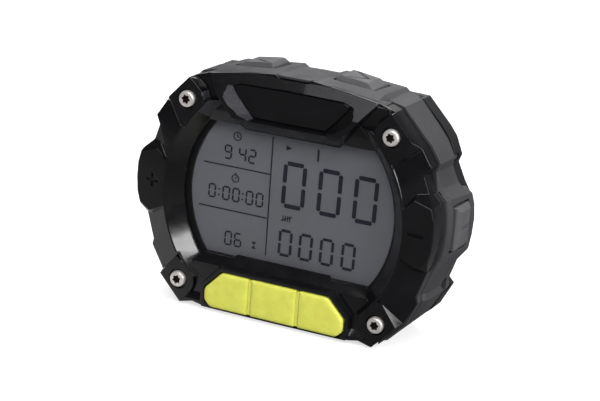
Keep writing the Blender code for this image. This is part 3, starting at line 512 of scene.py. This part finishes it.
def bezel():
    """The gloss moulding, with spark texture on the brow's slope and on the faces at the left of its dish:
    the slope's left part is smoother and painted darker, a painted shade, and the dish's faces are painted
    lighter, a painted light.
    """
    item = softened("front_bezel", "bezel_moulding", 0.16)
    shown(item, gloss_black())
    # The second material is the spark-textured slope, with painted shade, a darker colour, left of a place in
    # X
    item.data.materials.append(textured_black(TEXTURED_ABS, 0.6, BAND_SHADE_END))
    # The third material is painted light: a lighter spark texture for the faces at the left of the dish,
    # where lamp light falls
    item.data.materials.append(textured_black(PAINTED_LIGHT_ABS, 0.15))
    slope = Vector((0, -1, BROW_SLOPE)).normalized()
    low, high = place(*BROW_LOW), place(*BROW_HIGH)
    crease = place(0.0, 0.0, BROW_CREASE).z
    for face in item.data.polygons:
        centre = face.center
        if not all(low[i] < centre[i] < high[i] for i in range(3)):
            continue
        if centre.z > crease and face.normal.dot(slope) > ON_SLOPE:
            face.material_index = 1
        # Faces at the left of the dish take the painted light
        elif centre.x < 0 and face.normal.x > DISH_RIGHTWARD and face.normal.y < -DISH_FORWARD:
            face.material_index = 2
    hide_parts("front_bezel")


def nameplate():
    """The bare gloss plate in the brow's dish."""
    item = softened("nameplate", "nameplate_moulding", 0.25)
    shown(item, plate_black())
    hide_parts("nameplate")


# Display

# Segments of the figures in use: top, top right, lower right, bottom, lower left, top left, middle
FIGURES = {
    "0": (1, 1, 1, 1, 1, 1, 0),
    "2": (1, 1, 0, 1, 1, 0, 1),
    "4": (0, 1, 1, 0, 0, 1, 1),
    "6": (1, 0, 1, 1, 1, 1, 1),
    "9": (1, 1, 1, 1, 0, 1, 1),
}
# A figure's lean to the right for each millimetre up, and the gap at a segment's end as a share of its stroke
FIGURE_LEAN = 0.02
FIGURE_GAP = 0.32
MARK_STROKE = 0.28
TALLY_STROKE = 0.26
# The share of its width over which a ruling tapers
BLUNT = 0.1
# The depths between which the ink lies, just in front of the panel
INK_FRONT, INK_BACK = 8.02, 8.1
# The figures' places were read on the lens and lie this much further left and lower on the panel
INK_SHIFT = (-0.95, -0.85)


def flat_shape(bm, outline):
    """Adds a thin solid on the display, with that outline."""
    moved = [(x + INK_SHIFT[0], z + INK_SHIFT[1]) for x, z in outline]
    front = ring_of(bm, moved, INK_FRONT)
    back = ring_of(bm, moved, INK_BACK)
    bridge(bm, front, back)
    bm.faces.new(front)
    bm.faces.new(back)


def bar(bm, start, end, width, point=0.5):
    """A segment from start to end, with ends that taper over a share of its width."""
    first, last = Vector(start), Vector(end)
    along = (last - first).normalized()
    across = Vector((-along.y, along.x)) * width / 2
    nose = along * width * point / 2
    near, far = first + nose, last - nose
    flat_shape(bm, [first, near + across, far + across, last, far - across, near - across])


def figure(bm, digit, left, bottom, width, height, stroke):
    """A seven-segment figure whose lower left corner is at (left, bottom), leaning a little to the right."""
    gap = stroke * FIGURE_GAP
    low, middle, high = bottom + stroke / 2, bottom + height / 2, bottom + height - stroke / 2
    near, far = left + stroke / 2, left + width - stroke / 2
    lines = [
        ((near, high), (far, high)), ((far, middle), (far, high)), ((far, low), (far, middle)),
        ((near, low), (far, low)), ((near, low), (near, middle)), ((near, middle), (near, high)),
        ((near, middle), (far, middle)),
    ]
    for lit, (start, end) in zip(FIGURES[digit], lines):
        if not lit:
            continue
        along = (Vector(end) - Vector(start)).normalized()
        ends = [Vector(start) + along * gap, Vector(end) - along * gap]
        bar(bm, *[(point.x + (point.y - bottom) * FIGURE_LEAN, point.y) for point in ends], stroke)


def figures(bm, digits, lefts, bottom, width, height, stroke):
    """A row of figures, with the left edge of each."""
    for digit, left in zip(digits, lefts):
        figure(bm, digit, left, bottom, width, height, stroke)


def ring_mark(bm, centre, radius, width, sides=28):
    """A thin ring on the display, made of short bars that meet."""
    points = circle(centre, radius, sides)
    for i, point in enumerate(points):
        start, end = Vector(point), Vector(points[(i + 1) % sides])
        outward = [(corner - Vector(centre)).normalized() * width / 2 for corner in (start, end)]
        flat_shape(bm, [start - outward[0], end - outward[1], end + outward[1], start + outward[0]])


def clock_mark(bm, centre):
    x, z = centre
    ring_mark(bm, centre, 1.25, MARK_STROKE)
    bar(bm, (x, z - 0.05), (x, z + 0.85), MARK_STROKE)
    bar(bm, (x - 0.05, z), (x + 0.65, z - 0.35), MARK_STROKE)


def watch_mark(bm, centre):
    x, z = centre
    ring_mark(bm, centre, 1.15, MARK_STROKE)
    bar(bm, (x, z + 1.2), (x, z + 1.75), 0.5, BLUNT)
    bar(bm, (x, z - 0.05), (x + 0.55, z + 0.6), MARK_STROKE)


def arrow_mark(bm, centre):
    x, z = centre
    flat_shape(bm, [(x - 1.0, z - 0.8), (x + 0.9, z), (x - 1.0, z + 0.8)])


def tally_mark(bm, centre):
    x, z = centre
    for i in range(4):
        bar(bm, (x + i * 0.75, z - 0.95), (x + i * 0.75, z + 0.95), TALLY_STROKE)
    bar(bm, (x - 0.7, z - 0.8), (x + 2.95, z + 0.8), TALLY_STROKE)


def hourglass_mark(bm, centre):
    x, z = centre
    flat_shape(bm, [(x - 0.75, z + 1.1), (x, z + 0.05), (x + 0.75, z + 1.1)])
    flat_shape(bm, [(x - 0.75, z - 1.1), (x + 0.75, z - 1.1), (x, z - 0.05)])


def display_ink():
    """The figures, rulings and small marks of the display."""
    bm = bmesh.new()
    figures(bm, "000", (-2.5, 9.25, 20.9), 34.9, 7.7, 14.5, 1.3)
    figures(bm, "0000", (-2.5, 4.3, 11.3, 18.4), 19.6, 4.6, 8.5, 0.85)
    figures(bm, "942", (-22.5, -17.6, -14.3), 46.3, 2.6, 4.5, 0.5)
    figures(bm, "00000", (-27.2, -22.4, -19.0, -14.4, -11.0), 33.3, 2.6, 4.5, 0.5)
    figures(bm, "06", (-20.8, -17.5), 19.2, 2.6, 4.6, 0.5)
    bar(bm, (8.7, 51.0), (8.75, 54.8), 0.55)
    # Two colons, and the rulings between the fields
    for x in (-23.5, -15.4):
        for z in (34.6, 36.4):
            flat_shape(bm, circle((x, z), 0.28, 10))
    bar(bm, (-6.43, 18.6), (-6.43, 55.9), 0.36, BLUNT)
    bar(bm, (-29.2, 44.2), (-6.7, 44.2), 0.34, BLUNT)
    bar(bm, (-30.1, 30.4), (-6.7, 30.4), 0.34, BLUNT)
    clock_mark(bm, (-18.3, 53.9))
    watch_mark(bm, (-18.2, 40.7))
    arrow_mark(bm, (-0.8, 53.4))
    tally_mark(bm, (-1.4, 31.5))
    hourglass_mark(bm, (-10.6, 21.0))
    item = mesh_object("display_ink", bm)
    shown(item, figure_ink(), smooth=20)


# Keys

# The outline of the three keys together, where in X they part, and the gap on each side of a parting
KEY_STRIP = [
    (-17.7, 12.1), (17.7, 12.1), (23.3, 6.3), (23.3, 2.6),
    (21.3, 0.5), (-21.3, 0.5), (-23.3, 2.6), (-23.3, 6.3),
]
KEY_LIMITS = (-30.0, -8.0, 8.0, 30.0)
KEY_GAP = 0.5
KEY_FRONT, KEY_BACK = -0.5, 5.4
# Radius of a corner of the strip, of one at a parting, and the least of any as the outline shrinks
KEY_CORNER, PARTED_CORNER, LEAST_CORNER = 2.2, 0.5, 0.12
# The rounded edge of a key, as steps in from its outline and drops below its front
KEY_PROFILE = [(2.2, 0.0), (1.3, 0.03), (0.8, 0.09), (0.45, 0.2), (0.2, 0.36), (0.06, 0.56), (0.0, 0.8)]


def clipped(outline, low, high):
    """The part of a convex outline between two values of X."""
    for limit, sign in ((low, 1), (high, -1)):
        kept = []
        for i, (x, z) in enumerate(outline):
            last_x, last_z = outline[i - 1]
            inside = sign * (x - limit) >= 0
            was_inside = sign * (last_x - limit) >= 0
            if inside != was_inside:
                share = (limit - last_x) / (x - last_x)
                kept.append((limit, last_z + (z - last_z) * share))
            if inside:
                kept.append((x, z))
        outline = kept
    return outline


def keys(lime):
    """The three keys, which are cut from one strip and ride on bodies of their own."""
    for i, name in enumerate(("left_key", "centre_key", "right_key")):
        low, high = KEY_LIMITS[i] + KEY_GAP, KEY_LIMITS[i + 1] - KEY_GAP
        corners = clipped(KEY_STRIP, low, high)
        radii = [PARTED_CORNER if x in (low, high) else KEY_CORNER for x, _ in corners]
        sections = []
        for step, drop in KEY_PROFILE:
            smaller = [max(radius - step, LEAST_CORNER) for radius in radii]
            sections.append((KEY_FRONT + drop, rounded(inset(corners, step), smaller)))
        sections.append((KEY_BACK, rounded(corners, radii)))
        item = loft(name + "_cap", sections)
        shown(item, lime, name, smooth=60)
        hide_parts(name)


# Screws

# Radii and depths below the top for a screw of scale one: the rounded edge of its head, and the rim of its
# drive from the inside out
HEAD_RADIUS = 2.5
HEAD_PROFILE = [(1.5, 0.0), (1.9, 0.03), (2.15, 0.1), (2.34, 0.24), (2.46, 0.46), (HEAD_RADIUS, 0.7)]
DRIVE_RADIUS = 1.05
DRIVE_PROFILE = [(1.2, 0.16), (1.27, 0.03)]
# The drive's drilled point, and the depth in which the head narrows to the shank
POINT_RADIUS, POINT_DEPTH = 0.25, 0.15
NECK_DEPTH = 0.05
# How far a drive's lobes stand out, as a share of its radius
LOBE_HEIGHT = 0.15
# How far apart the screws stand and at what height the middle of them is
BEZEL_SCREWS_ACROSS, BEZEL_SCREWS_UP, BEZEL_SCREWS_MIDDLE = 66.5, 56.95, 35.225
DOOR_SCREWS_ACROSS, DOOR_SCREWS_MIDDLE = 60.4, 36.75
CORNERS = ("top_left", "top_right", "bottom_left", "bottom_right")
# What the tree that copies the screws is given, and of which kind each is
SCREW_SOCKETS = {
    "Across": "Float", "Up": "Float", "Columns": "Int", "Rows": "Int", "Height": "Float",
    "Axis Depth": "Float", "Seed": "Int", "Metal": "Material",
}


def six_lobe(radius, sides):
    """The six-lobed outline of a drive recess of a mean radius."""
    outline = []
    for x, z in circle((0, 0), radius, sides):
        swell = 1 + LOBE_HEIGHT * cos(6 * atan2(z, x))
        outline.append((x * swell, z * swell))
    return outline


def screw_body(name, scale, top, head, shank, length, recess, way=1, sides=48):
    """A button-head screw, whose head's top is at a depth and faces forward, or back where way is -1.

    Head is its thickness, shank is a radius, length is the whole screw's, and recess is the drive's depth.
    """
    head, shank, length, recess = (size / scale for size in (head, shank, length, recess))
    drive = [(DRIVE_RADIUS, recess), *DRIVE_PROFILE]
    outside = [*HEAD_PROFILE, (HEAD_RADIUS, head), (shank, head + NECK_DEPTH), (shank, length)]
    sections = [(recess + POINT_DEPTH, circle((0, 0), POINT_RADIUS, sides))]
    sections += [(depth, six_lobe(radius, sides)) for radius, depth in drive]
    sections += [(depth, circle((0, 0), radius, sides)) for radius, depth in outside]
    scaled = []
    for depth, outline in sections:
        scaled.append((top + way * depth * scale, [(x * scale, z * scale) for x, z in outline]))
    item = loft(name, scaled)
    # The drive gets painted shade from the point up to its last section, which is its bright rim
    shaded = len(drive) * sides
    shade = item.data.attributes.new("drive", "FLOAT", "POINT")
    shade.data.foreach_set("value", [float(i < shaded) for i in range(len(item.data.vertices))])
    return item


def screws_tree():
    """Copies one screw to the corners of an upright grid, each turned at random about its own axis."""
    tree = bpy.data.node_groups.new("screws on a grid", "GeometryNodeTree")
    face = tree.interface
    face.new_socket("Screw", in_out="INPUT", socket_type="NodeSocketGeometry")
    for label, kind in SCREW_SOCKETS.items():
        face.new_socket(label, in_out="INPUT", socket_type="NodeSocket" + kind)
    face.new_socket("Screws", in_out="OUTPUT", socket_type="NodeSocketGeometry")
    node = tree.nodes.new
    link = tree.links.new
    given = node("NodeGroupInput")
    grid = node("GeometryNodeMeshGrid")
    grid_sockets = {"Across": "Size X", "Up": "Size Y", "Columns": "Vertices X", "Rows": "Vertices Y"}
    for label, socket in grid_sockets.items():
        link(given.outputs[label], grid.inputs[socket])
    upright = node("GeometryNodeTransform")
    upright.inputs["Rotation"].default_value = (pi / 2, 0, 0)
    link(grid.outputs["Mesh"], upright.inputs["Geometry"])
    lift = node("ShaderNodeCombineXYZ")
    link(given.outputs["Height"], lift.inputs["Z"])
    link(lift.outputs["Vector"], upright.inputs["Translation"])
    spin = node("FunctionNodeRandomValue")
    spin.data_type = "FLOAT"
    by_identifier(spin.inputs)["Max_001"].default_value = pi / 3
    link(given.outputs["Seed"], spin.inputs["Seed"])
    turn = node("ShaderNodeCombineXYZ")
    link(by_identifier(spin.outputs)["Value_001"], turn.inputs["Y"])
    lower = node("GeometryNodeTransform")
    shift = node("ShaderNodeCombineXYZ")
    link(given.outputs["Axis Depth"], shift.inputs["Z"])
    link(shift.outputs["Vector"], lower.inputs["Translation"])
    link(given.outputs["Screw"], lower.inputs["Geometry"])
    copies = node("GeometryNodeInstanceOnPoints")
    link(upright.outputs["Geometry"], copies.inputs["Points"])
    link(lower.outputs["Geometry"], copies.inputs["Instance"])
    link(turn.outputs["Vector"], copies.inputs["Rotation"])
    real = node("GeometryNodeRealizeInstances")
    link(copies.outputs["Instances"], real.inputs["Geometry"])
    metal = node("GeometryNodeSetMaterial")
    link(given.outputs["Metal"], metal.inputs["Material"])
    link(real.outputs["Geometry"], metal.inputs["Geometry"])
    smooth = node("GeometryNodeSetShadeSmooth")
    link(metal.outputs["Geometry"], smooth.inputs["Geometry"])
    result = node("NodeGroupOutput")
    link(smooth.outputs["Geometry"], result.inputs["Screws"])
    return tree


def screw_set(item, tree, metal, nodes, **sizes):
    """Copies a screw with the tree, and makes the copies one plain mesh that stands for the nodes."""
    modifier = item.modifiers.new("screws", "NODES")
    modifier.node_group = tree
    inputs = [socket for socket in tree.interface.items_tree if socket.in_out == "INPUT"]
    sockets = {socket.name: socket.identifier for socket in inputs}
    for label, value in sizes.items():
        modifier[sockets[label.replace("_", " ")]] = value
    modifier[sockets["Metal"]] = metal
    baked(item)
    shown(item, metal, smooth=35)
    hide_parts(*nodes)


def screws():
    """The four bezel screws and the two door screws, by one tree.

    The screws are drawn about the face frame's origin, which Axis Depth brings down to the floor before the
    tree lifts each copy to its height above it.
    """
    tree = screws_tree()
    metal = stainless()
    screw_set(
        screw_body("bezel_screws", 1.0, top=0.0, head=1.9, shank=1.3, length=21.0, recess=1.3),
        tree, metal, [f"bezel_screw_{corner}" for corner in CORNERS],
        Across=BEZEL_SCREWS_ACROSS * MM, Up=BEZEL_SCREWS_UP * MM, Columns=2, Rows=2,
        Height=(BEZEL_SCREWS_MIDDLE - FOOT) * MM, Axis_Depth=FOOT * MM, Seed=4,
    )
    screw_set(
        screw_body("door_screws", 0.8, top=30.44, head=0.6, shank=1.0, length=6.9, recess=0.4, way=-1),
        tree, metal, [f"battery_door_screw_{side}" for side in ("left", "right")],
        Across=DOOR_SCREWS_ACROSS * MM, Up=0.0, Columns=2, Rows=1,
        Height=(DOOR_SCREWS_MIDDLE - FOOT) * MM, Axis_Depth=FOOT * MM, Seed=9,
    )


# Sleeve, pads and back

# Two corners of the box that holds the black part of the sleeve's lip beside the right thumb tab, with the
# left one its mirror image
LIP_INNER, LIP_OUTER = (44.0, 0.0, 23.0), (52.2, 9.0, 50.0)


def sleeve():
    """The rubber sleeve, which is black on its lip beside the thumb tabs."""
    item = softened("grip_sleeve", "sleeve_moulding", 0.2)
    shown(item, sleeve_rubber())
    item.data.materials.append(lip_black())
    inner, outer = place(*LIP_INNER), place(*LIP_OUTER)
    for face in item.data.polygons:
        centre = face.center
        if abs(centre.x) > inner.x and centre.y < outer.y and inner.z < centre.z < outer.z:
            face.material_index = 1
    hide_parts("grip_sleeve")


def pads():
    """The four rubber pads, which ride on bodies of their own."""
    rubber = pad_rubber()
    for name in ("plus_pad", "minus_pad", "previous_pad", "next_pad"):
        item = softened(name, name + "_cap", 0.3, segments=3)
        shown(item, rubber, name)
        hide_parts(name)


def back():
    """The rear housing and its battery door."""
    plastic = case_black()
    for node, name in (("rear_housing", "case_moulding"), ("battery_door", "door_moulding")):
        item = softened(node, name, 0.18)
        shown(item, plastic)
        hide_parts(node)


# Pieces that keep their solid's shape


def keep_shapes(lime):
    """Gives the solids that are shown as they are their materials."""
    plate = nickel()
    plain = {
        "display_lens": lens_clear(),
        "display_mask": mask_black(),
        "lcd_panel": lcd_grey(),
        "backlight_panel": diffuser(),
        "elastomer_connector": striped_elastomer(),
        "main_circuit_board": solder_mask(),
        "clock_crystal": plate,
        "keypad_web": lime,
        "housing_seal": seal_rubber("housing_seal_rubber", SEAL_RUBBER),
        "battery_door_seal": seal_rubber("door_seal_rubber", DOOR_SEAL_RUBBER),
    }
    epoxy = chip_epoxy()
    for name in ("microcontroller", "piezo_buzzer"):
        plain[name] = epoxy
    for name in ("plus", "minus", "previous", "next", "left_key", "centre_key", "right_key"):
        plain[f"{name}_switch"] = epoxy
    jacket = cell_jacket()
    for name in ("upper", "lower"):
        plain[f"battery_cell_{name}"] = jacket
        plain[f"battery_spring_{name}"] = plate
        plain[f"battery_contact_{name}"] = plate
    turned = brass()
    for corner in CORNERS:
        plain[f"threaded_insert_{corner}"] = turned
    for name, material in plain.items():
        NODES[name].data.materials.clear()
        NODES[name].data.materials.append(material)


# Studio

# Softboxes: name, direction from the object, distance and size in metres, and power in watts
SOFTBOXES = [
    ("right softbox", (0.87, -0.31, 0.38), 0.75, (0.34, 0.20), 2.7),
    ("top softbox", (-0.15, 0.6, 0.85), 0.8, (0.6, 0.4), 6.5),
    ("front fill", (0.25, -0.9, 0.95), 1.2, (1.0, 0.5), 10.0),
    ("flank light", (0.95, 0.1, 0.16), 0.75, (0.3, 0.9), 4.8),
]
# Where the softboxes point, in metres
LIT_PLACE = (0, 0, 0.04)
WHITE = (1, 1, 1, 1)
# How bright the room is as a fill
ROOM_FILL = 0.42
# The room in a reflection: how much a direction's height takes from how far back it points, and from and to
# which value of what is left the room goes from one brightness to another
HEIGHT_SHARE = 0.5
ROOM_FADE = (0.40, 0.80, 0.05, 0.85)
# Half of the floor's side and how far it lies under the object, in metres
FLOOR_HALF = 3.0
FLOOR_DROP = 0.00005
# How pale the floor is where it is seen or lights the object, how pale in a reflection, and its own glow
FLOOR_SEEN, FLOOR_MIRRORED, FLOOR_GLOW = 0.42, 0.06, 0.66
# The floor's glow in a reflection: how it changes across a slanted line, which runs straight back past a
# limit in Y, and along an axis. Each is from and to a place in metres, and from one level to another
SLANT_LIMIT = 0.02
SLANT_FADE = (-0.09, 0.06, 0.04, 0.75)
FLOOR_FADES = [
    ("X", -0.4, -0.18, 0.1, 1.0),
    ("X", 0.0, 0.05, 1.0, 0.1),
    ("Y", -0.10, -0.01, 0.4, 1.0),
]


def camera():
    """A camera where the photograph's stood."""
    data = bpy.data.cameras.new("camera")
    data.lens = CAMERA_LENS
    data.sensor_width = SENSOR_WIDTH
    data.clip_start = 0.01
    item = bpy.data.objects.new("camera", data)
    bpy.context.scene.collection.objects.link(item)
    turn = Matrix.Rotation(radians(CAMERA_AZIMUTH), 4, "Z")
    turn = turn @ Matrix.Rotation(radians(90 - CAMERA_ELEVATION), 4, "X")
    turn = turn @ Matrix.Rotation(radians(CAMERA_ROLL), 4, "Z")
    item.matrix_world = Matrix.Translation(CAMERA_PLACE) @ turn
    bpy.context.scene.camera = item


def softbox(name, direction, distance, size, power):
    """A rectangular lamp at a distance along a direction from the object, facing it."""
    data = bpy.data.lights.new(name, "AREA")
    data.shape = "RECTANGLE"
    data.size, data.size_y = size
    data.energy = power
    item = bpy.data.objects.new(name, data)
    bpy.context.scene.collection.objects.link(item)
    way = Vector(direction).normalized()
    item.location = Vector(LIT_PLACE) + way * distance
    item.rotation_mode = "QUATERNION"
    item.rotation_quaternion = way.to_track_quat("Z", "Y")


def combined(tree, operation, first, second):
    """A Math node on two outputs, or on an output and a number."""
    node = tree.nodes.new("ShaderNodeMath")
    node.operation = operation
    feed(tree, first, node.inputs[0])
    feed(tree, second, node.inputs[1])
    return node.outputs["Value"]


def faded(tree, value, start, end, low, high):
    """A smooth change from low to high as the value goes from start to end."""
    fade = tree.nodes.new("ShaderNodeMapRange")
    fade.interpolation_type = "SMOOTHSTEP"
    for label, number in (("From Min", start), ("From Max", end), ("To Min", low), ("To Max", high)):
        fade.inputs[label].default_value = number
    tree.links.new(value, fade.inputs["Value"])
    return fade.outputs["Result"]


def parts_of(tree, coordinates):
    """The X, Y and Z outputs of a texture coordinate."""
    split = tree.nodes.new("ShaderNodeSeparateXYZ")
    source = tree.nodes.new("ShaderNodeTexCoord")
    tree.links.new(source.outputs[coordinates], split.inputs["Vector"])
    return split.outputs


def wall_seen_in_gloss(tree):
    """How bright the room looks in a reflection: pale low at the back, dark in front and at the right."""
    sky = parts_of(tree, "Generated")
    right = combined(tree, "MAXIMUM", sky["X"], 0.0)
    high = combined(tree, "MULTIPLY", sky["Z"], HEIGHT_SHARE)
    back = combined(tree, "SUBTRACT", combined(tree, "SUBTRACT", sky["Y"], right), high)
    return faded(tree, back, *ROOM_FADE)


def background(tree, strength):
    """A white surrounding of a strength, which is a number or an output."""
    node = tree.nodes.new("ShaderNodeBackground")
    node.inputs["Color"].default_value = WHITE
    feed(tree, strength, node.inputs["Strength"])
    return node.outputs["Background"]


def chosen(tree, share, first, second):
    """The first shader where the share is 0, and the second where it is 1."""
    node = tree.nodes.new("ShaderNodeMixShader")
    for value, socket in zip((share, first, second), node.inputs):
        tree.links.new(value, socket)
    return node.outputs["Shader"]


def room():
    """White to the camera, a gradient in reflections, and an even fill on the surfaces."""
    world = bpy.data.worlds.new("studio")
    world.use_nodes = True
    bpy.context.scene.world = world
    tree = world.node_tree
    tree.nodes.clear()
    path = tree.nodes.new("ShaderNodeLightPath")
    mirrored = background(tree, wall_seen_in_gloss(tree))
    lit = chosen(tree, path.outputs["Is Glossy Ray"], background(tree, ROOM_FILL), mirrored)
    seen = chosen(tree, path.outputs["Is Camera Ray"], lit, background(tree, 1.0))
    result = tree.nodes.new("ShaderNodeOutputWorld")
    tree.links.new(seen, result.inputs["Surface"])


def floor_glow(tree, path):
    """How much the floor glows: evenly to the camera, and in reflections more to the left of the object."""
    direct = combined(tree, "MAXIMUM", path.outputs["Is Camera Ray"], path.outputs["Is Transmission Ray"])
    spot = parts_of(tree, "Object")
    near = combined(tree, "MINIMUM", spot["Y"], SLANT_LIMIT)
    shine = faded(tree, combined(tree, "SUBTRACT", near, spot["X"]), *SLANT_FADE)
    for axis, *limits in FLOOR_FADES:
        shine = combined(tree, "MULTIPLY", shine, faded(tree, spot[axis], *limits))
    mirrored = combined(tree, "MULTIPLY", path.outputs["Is Glossy Ray"], shine)
    return combined(tree, "ADD", combined(tree, "MULTIPLY", direct, FLOOR_GLOW), mirrored)


def floor():
    """A wide pale floor just under the object, which takes its shadow."""
    bm = bmesh.new()
    bmesh.ops.create_grid(bm, x_segments=1, y_segments=1, size=FLOOR_HALF)
    item = mesh_object("floor", bm)
    item.location.z = -FLOOR_DROP
    material = bpy.data.materials.new("pale_floor")
    material.use_nodes = True
    tree = material.node_tree
    shader = tree.nodes["Principled BSDF"]
    shader.inputs["Roughness"].default_value = 0.8
    shader.inputs["Specular IOR Level"].default_value = 0.1
    path = tree.nodes.new("ShaderNodeLightPath")
    shade = tree.nodes.new("ShaderNodeMapRange")
    shade.inputs["To Min"].default_value = FLOOR_SEEN
    shade.inputs["To Max"].default_value = FLOOR_MIRRORED
    tree.links.new(path.outputs["Is Glossy Ray"], shade.inputs["Value"])
    tree.links.new(shade.outputs["Result"], shader.inputs["Base Color"])
    glow = tree.nodes.new("ShaderNodeEmission")
    glow.inputs["Color"].default_value = WHITE
    tree.links.new(floor_glow(tree, path), glow.inputs["Strength"])
    total = tree.nodes.new("ShaderNodeAddShader")
    tree.links.new(shader.outputs["BSDF"], total.inputs[0])
    tree.links.new(glow.outputs["Emission"], total.inputs[1])
    tree.links.new(total.outputs["Shader"], tree.nodes["Material Output"].inputs["Surface"])
    item.data.materials.append(material)


def studio():
    """The room, the floor and the lamps, shown without a film look."""
    bpy.context.scene.view_settings.view_transform = "Standard"
    room()
    floor()
    for settings in SOFTBOXES:
        softbox(*settings)


lime = lime_silicone()
camera()
studio()
bezel()
nameplate()
display_ink()
keys(lime)
screws()
sleeve()
pads()
back()
keep_shapes(lime)
